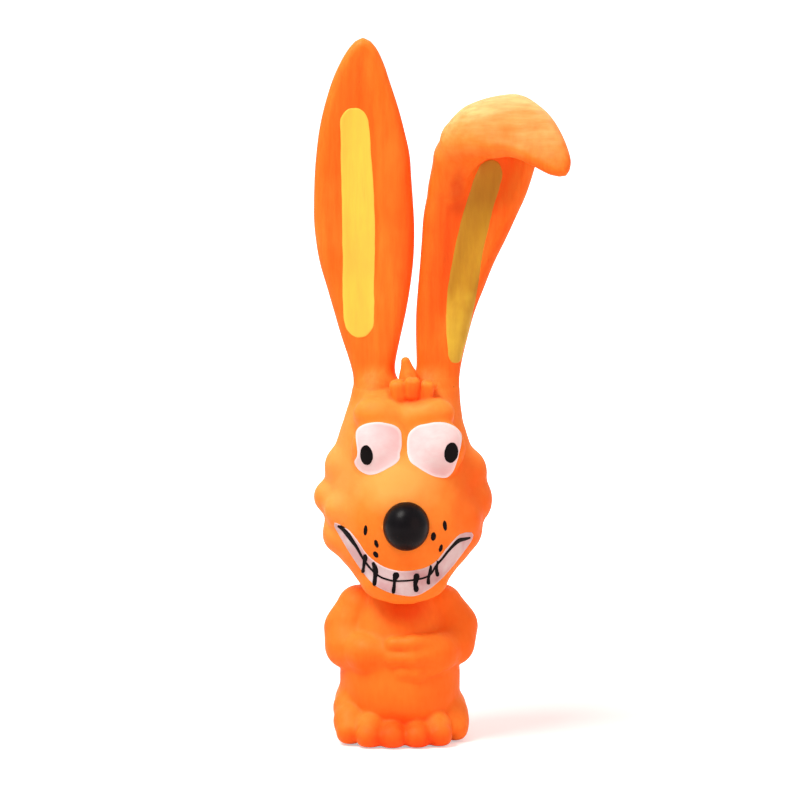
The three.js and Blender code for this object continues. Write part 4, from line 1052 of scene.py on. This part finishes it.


# Slip-moulded latex: cloudy colour, fine brush strokes and a few dark specks, with a painted highlight on
# what faces up and on the rims, and painted shade in the creases
def makeLatexGroup():
    look = latexLook
    tree, start, end = newGroup("latexSkin", [
        ("Colour", "NodeSocketColor", (1, 0.2, 0.02, 1)), ("Pale", "NodeSocketColor", (1, 0.4, 0.1, 1)),
        ("Deep", "NodeSocketColor", (0.8, 0.08, 0.005, 1)), ("Stroke Width", "NodeSocketVector", (1, 1, 1)),
        ("Cloud", "NodeSocketFloat", 0.5), ("Stroke", "NodeSocketFloat", 0.5),
        ("Crease Shade", "NodeSocketFloat", 0.8), ("Top Highlight Colour", "NodeSocketColor", (1, 0.5, 0.15, 1)),
        ("Top", "NodeSocketFloat", 0.5),
    ], [("Colour", "NodeSocketColor"), ("Roughness", "NodeSocketFloat"), ("Height", "NodeSocketFloat")])
    place = addNode(tree, "ShaderNodeTexCoord")
    spot = place.outputs["Object"]
    cloud = mapped(tree, noiseAt(tree, spot, look["cloudScale"], 3), *look["cloudRange"])
    facing = addNode(tree, "ShaderNodeSeparateXYZ")
    tree.links.new(place.outputs["Normal"], facing.inputs[0])
    # painted highlight: a paler top colour on whatever faces up, where the light from above falls
    paintedTopLight = mapped(tree, facing.outputs[2], *look["topHighlightRange"])
    scaled = addNode(tree, "ShaderNodeVectorMath", operation="MULTIPLY")
    tree.links.new(spot, scaled.inputs[0])
    tree.links.new(start.outputs["Stroke Width"], scaled.inputs[1])
    strokes = noiseAt(tree, scaled.outputs[0], look["strokeScale"], 4, 0.62)
    strokeMask = mapped(tree, strokes, *look["strokeRange"])
    strokeShare = mathOf(tree, "MULTIPLY", start.outputs["Stroke"], look["strokeShare"])
    # painted shade: a deeper colour in the creases; painted highlight: a paler colour on the rims
    bend = addNode(tree, "ShaderNodeAttribute", attribute_name="bend").outputs["Fac"]
    paintedCreaseShade = mapped(tree, bend, *look["creaseShadeRange"])
    rim = mapped(tree, bend, *look["rimRange"])
    colour = start.outputs["Colour"]
    for mask, share, tint in ((cloud, start.outputs["Cloud"], "Pale"),
                              (paintedTopLight, start.outputs["Top"], "Top Highlight Colour"),
                              (strokeMask, strokeShare, "Deep"), (rim, look["rimHighlightShare"], "Pale"),
                              (paintedCreaseShade, start.outputs["Crease Shade"], "Deep")):
        colour = blendColour(tree, mathOf(tree, "MULTIPLY", mask, share), colour, start.outputs[tint])
    speck = addNode(tree, "ShaderNodeTexVoronoi")
    tree.links.new(spot, speck.inputs["Vector"])
    speck.inputs["Scale"].default_value = look["speckScale"]
    rare = mapped(tree, speck.outputs["Distance"], *look["speckRange"])
    chosen = mapped(tree, noiseAt(tree, spot, look["speckPlaceScale"], 0), *look["speckPlaceRange"])
    specks = mathOf(tree, "MULTIPLY", mathOf(tree, "MULTIPLY", rare, chosen), look["speckShare"])
    tree.links.new(blendColour(tree, specks, colour, look["speckColour"]), end.inputs["Colour"])
    tree.links.new(mapped(tree, strokes, *noiseSpan, *look["roughness"]), end.inputs["Roughness"])
    grain = mathOf(tree, "MULTIPLY", noiseAt(tree, spot, look["grainScale"], 2), look["grainShare"])
    relief = mathOf(tree, "MULTIPLY", strokes, start.outputs["Stroke"])
    tree.links.new(mathOf(tree, "ADD", relief, grain), end.inputs["Height"])
    return tree


# The same for the paint, with how unevenly dull it is
paintLook = {"streakScale": 520, "streakRange": (0.42, 0.72), "washRange": (0.4, 0.66),
             "rimRange": (0.66, 0.9), "uneven": (0.0, 0.16)}


# Brushed paint: a wash of another colour in patches, streaks along the brush, and a rim of its own colour
def makePaintGroup():
    look = paintLook
    tree, start, end = newGroup("brushedPaint", [
        ("Colour", "NodeSocketColor", (0.9, 0.9, 0.9, 1)), ("Wash", "NodeSocketColor", (0.9, 0.7, 0.7, 1)),
        ("Rim Colour", "NodeSocketColor", (1, 1, 1, 1)), ("Stroke Width", "NodeSocketVector", (1, 1, 1)),
        ("Wash Amount", "NodeSocketFloat", 0.5), ("Rim Amount", "NodeSocketFloat", 0.5),
        ("Wash Scale", "NodeSocketFloat", 70.0), ("Streak", "NodeSocketFloat", 0.3),
        ("Dullness", "NodeSocketFloat", 0.38),
    ], [("Colour", "NodeSocketColor"), ("Roughness", "NodeSocketFloat"), ("Height", "NodeSocketFloat")])
    spot = addNode(tree, "ShaderNodeTexCoord").outputs["Object"]
    scaled = addNode(tree, "ShaderNodeVectorMath", operation="MULTIPLY")
    tree.links.new(spot, scaled.inputs[0])
    tree.links.new(start.outputs["Stroke Width"], scaled.inputs[1])
    streaks = noiseAt(tree, scaled.outputs[0], look["streakScale"], 4, 0.65)
    patch = addNode(tree, "ShaderNodeTexNoise")
    tree.links.new(spot, patch.inputs["Vector"])
    tree.links.new(start.outputs["Wash Scale"], patch.inputs["Scale"])
    patch.inputs["Detail"].default_value = 3
    wash = mapped(tree, patch.outputs[0], *look["washRange"])
    streakMask = mapped(tree, streaks, *look["streakRange"])
    bend = addNode(tree, "ShaderNodeAttribute", attribute_name="bend").outputs["Fac"]
    rim = mapped(tree, bend, *look["rimRange"])
    colour = start.outputs["Colour"]
    for mask, share, tint in ((wash, "Wash Amount", "Wash"), (streakMask, "Streak", "Wash"),
                              (rim, "Rim Amount", "Rim Colour")):
        colour = blendColour(tree, mathOf(tree, "MULTIPLY", mask, start.outputs[share]), colour,
                             start.outputs[tint])
    tree.links.new(colour, end.inputs["Colour"])
    uneven = mapped(tree, streaks, *noiseSpan, *look["uneven"])
    tree.links.new(mathOf(tree, "ADD", start.outputs["Dullness"], uneven), end.inputs["Roughness"])
    tree.links.new(streaks, end.inputs["Height"])
    return tree


fadeLook = {"shakeScale": 160, "sideBlur": 0.002}


# A second colour that comes in between two heights, and only beyond a line to one side
def makeFadeGroup():
    tree, start, end = newGroup("heightFade", [
        ("First", "NodeSocketColor", (1, 1, 1, 1)), ("Second", "NodeSocketColor", (1, 1, 1, 1)),
        ("Low", "NodeSocketFloat", 0.0), ("High", "NodeSocketFloat", 1.0),
        ("Shake", "NodeSocketFloat", 0.0), ("Side", "NodeSocketFloat", -1.0),
    ], [("Colour", "NodeSocketColor")])
    spot = addNode(tree, "ShaderNodeTexCoord").outputs["Object"]
    place = addNode(tree, "ShaderNodeSeparateXYZ")
    tree.links.new(spot, place.inputs[0])
    shake = mapped(tree, noiseAt(tree, spot, fadeLook["shakeScale"], 2), *noiseSpan, -0.5, 0.5)
    shaken = mathOf(tree, "ADD", place.outputs[2], mathOf(tree, "MULTIPLY", shake, start.outputs["Shake"]))
    share = addNode(tree, "ShaderNodeMapRange")
    tree.links.new(shaken, share.inputs["Value"])
    tree.links.new(start.outputs["Low"], share.inputs["From Min"])
    tree.links.new(start.outputs["High"], share.inputs["From Max"])
    past, blur = mathOf(tree, "SUBTRACT", place.outputs[0], start.outputs["Side"]), fadeLook["sideBlur"]
    beside = mapped(tree, past, -blur, blur)
    both = mathOf(tree, "MULTIPLY", share.outputs["Result"], beside)
    tree.links.new(blendColour(tree, both, start.outputs["First"], start.outputs["Second"]),
                   end.inputs["Colour"])
    return tree


patchLook = {"shakeScale": 90, "edge": (1.0, 0.35), "shake": 0.12}


# A patch of painted light and shade: another colour over an egg-shaped place, with a soft uneven edge
def makePatchGroup():
    tree, start, end = newGroup("lightAndShadePatch", [
        ("Colour", "NodeSocketColor", (1, 1, 1, 1)), ("Tint", "NodeSocketColor", (1, 1, 1, 1)),
        ("Amount", "NodeSocketFloat", 0.5), ("Shake", "NodeSocketFloat", 0.1),
        ("Centre", "NodeSocketVector", (0, 0, 0)), ("Size", "NodeSocketVector", (1, 1, 1)),
    ], [("Colour", "NodeSocketColor")])
    spot = addNode(tree, "ShaderNodeTexCoord").outputs["Object"]
    away = addNode(tree, "ShaderNodeVectorMath", operation="SUBTRACT")
    tree.links.new(spot, away.inputs[0])
    tree.links.new(start.outputs["Centre"], away.inputs[1])
    scaled = addNode(tree, "ShaderNodeVectorMath", operation="DIVIDE")
    tree.links.new(away.outputs[0], scaled.inputs[0])
    tree.links.new(start.outputs["Size"], scaled.inputs[1])
    far = addNode(tree, "ShaderNodeVectorMath", operation="LENGTH")
    tree.links.new(scaled.outputs[0], far.inputs[0])
    uneven = mapped(tree, noiseAt(tree, spot, patchLook["shakeScale"], 2), *noiseSpan, -1.0, 1.0)
    shake = mathOf(tree, "MULTIPLY", uneven, start.outputs["Shake"])
    share = mapped(tree, mathOf(tree, "ADD", far.outputs["Value"], shake), *patchLook["edge"])
    share = mathOf(tree, "MULTIPLY", share, start.outputs["Amount"])
    tree.links.new(blendColour(tree, share, start.outputs["Colour"], start.outputs["Tint"]),
                   end.inputs["Colour"])
    return tree


fadeGroup = makeFadeGroup()
patchGroup = makePatchGroup()
latexGroup = makeLatexGroup()
paintGroup = makePaintGroup()


def newMaterial(name):
    material = bpy.data.materials.new(name)
    material.use_nodes = True
    return material, material.node_tree, material.node_tree.nodes["Principled BSDF"]


def addGroup(tree, group, values):
    node = addNode(tree, "ShaderNodeGroup")
    node.node_tree = group
    for label, value in values.items():
        node.inputs[label].default_value = value
    return node


def groupMaterial(name, group, values, bump, sockets):
    material, tree, shader = newMaterial(name)
    node = addGroup(tree, group, values)
    tree.links.new(node.outputs["Colour"], shader.inputs["Base Color"])
    tree.links.new(node.outputs["Roughness"], shader.inputs["Roughness"])
    relief = addNode(tree, "ShaderNodeBump")
    relief.inputs["Strength"].default_value = bump[0]
    relief.inputs["Distance"].default_value = bump[1]
    tree.links.new(node.outputs["Height"], relief.inputs["Height"])
    tree.links.new(relief.outputs["Normal"], shader.inputs["Normal"])
    for label, value in sockets.items():
        shader.inputs[label].default_value = value
    return material


latexSockets = {"Subsurface Weight": 0.15, "Subsurface Radius": (1.0, 0.3, 0.1), "Subsurface Scale": 0.003,
                "Specular IOR Level": 0.16}
latexFinish = {
    "body": {"Colour": linear(255, 120, 28), "Pale": linear(255, 140, 42), "Deep": linear(244, 78, 8),
             "Stroke Width": (1.0, 1.0, 0.35), "Cloud": 0.5, "Stroke": 0.3, "Crease Shade": 0.3,
             "Top Highlight Colour": linear(255, 158, 62), "Top": 0.5},
    "head": {"Colour": linear(255, 130, 34), "Pale": linear(255, 156, 56), "Deep": linear(252, 84, 8),
             "Stroke Width": (0.8, 1.0, 0.8), "Cloud": 0.6, "Stroke": 0.2, "Crease Shade": 0.6,
             "Top Highlight Colour": linear(255, 182, 88), "Top": 0.62},
    "ears": {"Colour": linear(255, 126, 32), "Pale": linear(255, 148, 50), "Deep": linear(250, 84, 8),
             "Stroke Width": (1.0, 1.0, 0.1), "Cloud": 0.5, "Stroke": 0.7, "Crease Shade": 0.3,
             "Top Highlight Colour": linear(255, 168, 76), "Top": 0.5},
    # the crest of the fold: paler brushwork, with a painted highlight where the light from above falls
    "fold": {"Colour": linear(255, 168, 76), "Pale": linear(255, 190, 104), "Deep": linear(252, 124, 34),
             "Stroke Width": (0.14, 0.8, 1.0), "Cloud": 0.5, "Stroke": 0.9, "Crease Shade": 0.3,
             "Top Highlight Colour": linear(255, 213, 144), "Top": 0.92},
}
latexRelief = (0.28, 0.0006)  # how strong and how deep, here and for the paint
latex = {key: groupMaterial("latex_" + key, latexGroup, latexFinish[key], latexRelief, latexSockets)
         for key in ("body", "head", "ears")}
# A second finish comes in between two heights, in metres: paler brushwork with a painted highlight over the
# crest of the fold, on the folded ear's side only, the upright strokes that run from the ears into the brow,
# and the lemon foot of the olive stripe
crestBrushAndHighlightFade = {"Low": 0.200, "High": 0.216, "Shake": 0.006, "Side": 0.008}
rootFade = {"Low": 0.1145, "High": 0.1225, "Shake": 0.002, "Side": -1.0}
lemonFade = {"Low": 0.157, "High": 0.137, "Shake": 0.008, "Side": 0.0}
# Patches of painted light and shade: middle and half sizes in the millimetres of the shapes above
lightAndShadePatches = {
    "head": [
        # painted highlight over the bridge of the snout, where the light from above falls
        {"place": ((-0.5, -22.5, 92.0), (19.0, 13.0, 12.5)), "colour": linear(255, 190, 98),
         "amount": 0.75},
        # painted shade on the front of the tuft, which faces away from the light from above
        {"place": ((4.4, -10.5, 119.6), (9.4, 7.0, 5.2)), "colour": linear(250, 74, 0), "amount": 0.62},
        # painted shade down the head's side that faces away from the light
        {"place": ((28.0, -8.0, 82.0), (13.0, 24.0, 28.0)), "colour": linear(252, 92, 22), "amount": 0.5},
        # painted highlight down the head's side that faces the light
        {"place": ((-21.0, -10.0, 92.0), (11.0, 20.0, 30.0)), "colour": linear(255, 178, 96),
         "amount": 0.45},
    ],
    "body": [
        # painted shade over the toes
        {"place": ((2.0, -20.0, 2.0), (24.0, 10.0, 10.5)), "colour": linear(240, 66, 2), "amount": 0.85},
        # painted shadow under the chin
        {"place": ((2.0, -11.0, 46.0), (10.0, 9.0, 7.5)), "colour": linear(228, 60, 2), "amount": 0.6},
        # painted shade down the body's side that faces away from the light
        {"place": ((22.0, -6.0, 38.0), (12.0, 16.0, 20.0)), "colour": linear(255, 106, 18), "amount": 0.4},
    ],
    "ears": [
        # painted shade over the folded ear
        {"place": ((26.0, 0.0, 160.0), (30.0, 30.0, 52.0)), "colour": linear(250, 88, 14), "amount": 0.4},
        # painted shade on the ears' inner edges, between the two ears
        {"place": ((3.0, 2.0, 180.0), (8.0, 20.0, 60.0)), "colour": linear(246, 84, 14), "amount": 0.45},
        # painted shade in the valley between the folded ear's left rim and its stripe, upper and lower
        {"place": ((19.6, -3.0, 188.0), (3.2, 7.0, 22.0)), "colour": linear(216, 66, 14), "amount": 0.5},
        {"place": ((16.6, -3.0, 166.0), (2.8, 7.0, 22.0)), "colour": linear(216, 66, 14), "amount": 0.5},
    ],
}


def addFade(material, group, values, fade):
    tree = material.node_tree
    shader = tree.nodes["Principled BSDF"]
    first = shader.inputs["Base Color"].links[0].from_socket
    second = addGroup(tree, group, values)
    node = addGroup(tree, fadeGroup, fade)
    tree.links.new(first, node.inputs["First"])
    tree.links.new(second.outputs["Colour"], node.inputs["Second"])
    tree.links.new(node.outputs["Colour"], shader.inputs["Base Color"])


def addPatch(material, patch):
    tree = material.node_tree
    shader = tree.nodes["Principled BSDF"]
    middle, half = patch["place"]
    size = tuple(v * toyFrame["millimetre"] for v in half)
    node = addGroup(tree, patchGroup, {"Tint": patch["colour"], "Amount": patch["amount"],
                                       "Shake": patchLook["shake"], "Size": size,
                                       "Centre": tuple(toFrame([middle])[0])})
    tree.links.new(shader.inputs["Base Color"].links[0].from_socket, node.inputs["Colour"])
    tree.links.new(node.outputs["Colour"], shader.inputs["Base Color"])


addFade(latex["ears"], latexGroup, latexFinish["fold"], crestBrushAndHighlightFade)
addFade(latex["head"], latexGroup, latexFinish["ears"], rootFade)
for key, spots in lightAndShadePatches.items():
    for spot in spots:
        addPatch(latex[key], spot)

paintFinish = {
    "white": {"Colour": linear(238, 230, 234), "Wash": linear(234, 194, 200),
              "Rim Colour": linear(252, 248, 254), "Stroke Width": (0.5, 1.0, 1.0), "Wash Amount": 0.9,
              "Rim Amount": 1.0, "Wash Scale": 60.0, "Streak": 0.3},
    "teeth": {"Colour": linear(216, 206, 210), "Wash": linear(204, 160, 166),
              "Rim Colour": linear(244, 238, 242), "Stroke Width": (1.0, 1.0, 0.5), "Wash Amount": 0.9,
              "Rim Amount": 0.8, "Wash Scale": 110.0, "Streak": 0.3},
    "black": {"Colour": linear(9, 6, 8), "Wash": linear(16, 12, 14), "Rim Colour": linear(11, 8, 8),
              "Stroke Width": (1.0, 1.0, 1.0), "Wash Amount": 0.5, "Rim Amount": 0.3, "Wash Scale": 200.0,
              "Streak": 0.3},
    "yellow": {"Colour": linear(248, 222, 82), "Wash": linear(242, 202, 80),
               "Rim Colour": linear(250, 220, 90), "Stroke Width": (1.0, 1.0, 0.12), "Wash Amount": 0.6,
               "Rim Amount": 0.2, "Wash Scale": 45.0, "Streak": 0.5},
    "olive": {"Colour": linear(192, 148, 36), "Wash": linear(174, 122, 32),
              "Rim Colour": linear(198, 156, 52), "Stroke Width": (1.0, 1.0, 0.12), "Wash Amount": 0.6,
              "Rim Amount": 0.3, "Wash Scale": 45.0, "Streak": 0.6},
    "lemon": {"Colour": linear(222, 192, 60), "Wash": linear(202, 166, 54),
              "Rim Colour": linear(228, 198, 76), "Stroke Width": (1.0, 1.0, 0.12), "Wash Amount": 0.6,
              "Rim Amount": 0.3, "Wash Scale": 45.0, "Streak": 0.6},
}
paintGloss = {"white": 0.2, "teeth": 0.2, "black": 0.06, "yellow": 0.2, "olive": 0.2}
paintRelief = (0.25, 0.0004)
paint = {key: groupMaterial("paint_" + key, paintGroup, paintFinish[key], paintRelief,
                            {"Specular IOR Level": gloss})
         for key, gloss in paintGloss.items()}
addFade(paint["olive"], paintGroup, paintFinish["lemon"], lemonFade)


def makeNoseMaterial():
    values = dict(paintFinish["black"])
    values.update({"Colour": linear(6, 4, 7), "Wash": linear(14, 10, 15), "Rim Amount": 0.0,
                   "Dullness": 0.26})
    return groupMaterial("noseGloss", paintGroup, values, (0.12, 0.0004), {"Specular IOR Level": 0.09})


def makePlasticMaterial():
    values = {"Colour": linear(233, 230, 223), "Wash": linear(214, 208, 196),
              "Rim Colour": linear(233, 230, 223), "Stroke Width": (1.0, 1.0, 1.0), "Wash Amount": 0.5,
              "Rim Amount": 0.0, "Wash Scale": 160.0, "Streak": 0.2}
    return groupMaterial("squeakerPlastic", paintGroup, values, (0.08, 0.0002), {"Specular IOR Level": 0.5})


def makeBrassMaterial():
    values = {"Colour": linear(206, 164, 84), "Wash": linear(178, 132, 60),
              "Rim Colour": linear(206, 164, 84), "Stroke Width": (1.0, 1.0, 0.08), "Wash Amount": 0.5,
              "Rim Amount": 0.0, "Wash Scale": 160.0, "Streak": 0.6}
    return groupMaterial("reedBrass", paintGroup, values, (0.1, 0.0002), {"Metallic": 1.0})


def dress(piece, material):
    piece.data.materials.clear()
    piece.data.materials.append(material)


for piece in bodyPieces:
    dress(piece, latex["body"])
dress(headPiece, latex["head"])
dress(straightEarPiece, latex["ears"])
dress(foldedEarPiece, latex["ears"])
dress(foldedTopPiece, latex["ears"])
dress(nosePiece, makeNoseMaterial())
for white, pupil in eyePieces.values():
    dress(white, paint["white"])
    dress(pupil, paint["black"])
dress(bandPiece, paint["teeth"])
for piece in strokePieces + frecklePieces:
    dress(piece, paint["black"])
dress(straightStripePiece, paint["yellow"])
dress(foldedStripePiece, paint["olive"])
dress(foldedStripeTopPiece, paint["olive"])
plastic = makePlasticMaterial()
for node in ("squeaker_cup", "squeaker_cap", "reed_carrier", "reed_wedge"):
    dress(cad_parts[node], plastic)
dress(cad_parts["reed"], makeBrassMaterial())
print("finishes ready")

# Stage: a pale floor that keeps the shadow and reads as white to the camera
stageLook = {"floor": linear(206, 198, 198), "floorPale": linear(252, 249, 249), "floorSize": 2.5,
             "cloudScale": 6, "drop": 0.0002, "glow": 0.46, "farGlow": 1.0, "glowFrom": 0.13, "glowTo": 0.32,
             "ambient": 0.46, "tint": (1.0, 0.68, 0.6, 1), "aim": (0, 0, 0.12)}
lamps = [
    {"name": "keyLamp", "place": (-0.64, -0.5, 1.39), "size": 0.7, "power": 21.0,
     "colour": (1.0, 0.97, 0.92)},
    {"name": "fillLamp", "place": (0.95, -0.9, 0.4), "size": 1.2, "power": 5.2,
     "colour": (1.0, 0.56, 0.46)},
    {"name": "backLamp", "place": (0.1, 0.9, 1.0), "size": 1.0, "power": 5.0, "colour": (1.0, 0.98, 0.96)},
]


def cameraSees(tree):
    path = addNode(tree, "ShaderNodeLightPath")
    seen = mathOf(tree, "MAXIMUM", path.outputs["Is Camera Ray"], path.outputs["Is Glossy Ray"])
    return mathOf(tree, "MAXIMUM", seen, path.outputs["Is Transmission Ray"])


def makeStage():
    world = bpy.data.worlds.new("paleRoom")
    world.use_nodes = True
    bpy.context.scene.world = world
    tree = world.node_tree
    sky = tree.nodes["Background"]
    white = addNode(tree, "ShaderNodeBackground")
    sky.inputs["Color"].default_value = stageLook["tint"]
    sky.inputs["Strength"].default_value = stageLook["ambient"]
    white.inputs["Color"].default_value = (1, 1, 1, 1)
    white.inputs["Strength"].default_value = 1.0
    mix = addNode(tree, "ShaderNodeMixShader")
    tree.links.new(cameraSees(tree), mix.inputs[0])
    tree.links.new(sky.outputs[0], mix.inputs[1])
    tree.links.new(white.outputs[0], mix.inputs[2])
    tree.links.new(mix.outputs[0], tree.nodes["World Output"].inputs["Surface"])

    mesh = bmesh.new()
    bmesh.ops.create_grid(mesh, x_segments=8, y_segments=8, size=stageLook["floorSize"])
    data = bpy.data.meshes.new("floor")
    mesh.to_mesh(data)
    mesh.free()
    floor = bpy.data.objects.new("floor", data)
    bpy.context.scene.collection.objects.link(floor)
    floor.location.z = -stageLook["drop"]
    material, tree, shader = newMaterial("paleFloor")
    spot = addNode(tree, "ShaderNodeTexCoord").outputs["Object"]
    cloud = mapped(tree, noiseAt(tree, spot, stageLook["cloudScale"], 2), *noiseSpan)
    shade = blendColour(tree, cloud, stageLook["floor"], stageLook["floorPale"])
    tree.links.new(shade, shader.inputs["Base Color"])
    shader.inputs["Roughness"].default_value = 0.9
    shader.inputs["Emission Color"].default_value = (1, 1, 1, 1)
    away = addNode(tree, "ShaderNodeVectorMath", operation="LENGTH")
    tree.links.new(spot, away.inputs[0])
    bright = mapped(tree, away.outputs["Value"], stageLook["glowFrom"], stageLook["glowTo"],
                    stageLook["glow"], stageLook["farGlow"])
    glow = mathOf(tree, "MULTIPLY", cameraSees(tree), bright)
    tree.links.new(glow, shader.inputs["Emission Strength"])
    data.materials.append(material)

    for lamp in lamps:
        light = bpy.data.lights.new(lamp["name"], "AREA")
        light.shape = "DISK"
        light.size, light.energy, light.color = lamp["size"], lamp["power"], lamp["colour"]
        holder = bpy.data.objects.new(lamp["name"], light)
        bpy.context.scene.collection.objects.link(holder)
        holder.location = lamp["place"]
        aim = Vector(stageLook["aim"]) - Vector(lamp["place"])
        holder.rotation_euler = aim.to_track_quat("-Z", "Y").to_euler()
    bpy.context.scene.view_settings.view_transform = "Standard"


makeStage()
print("stage ready")
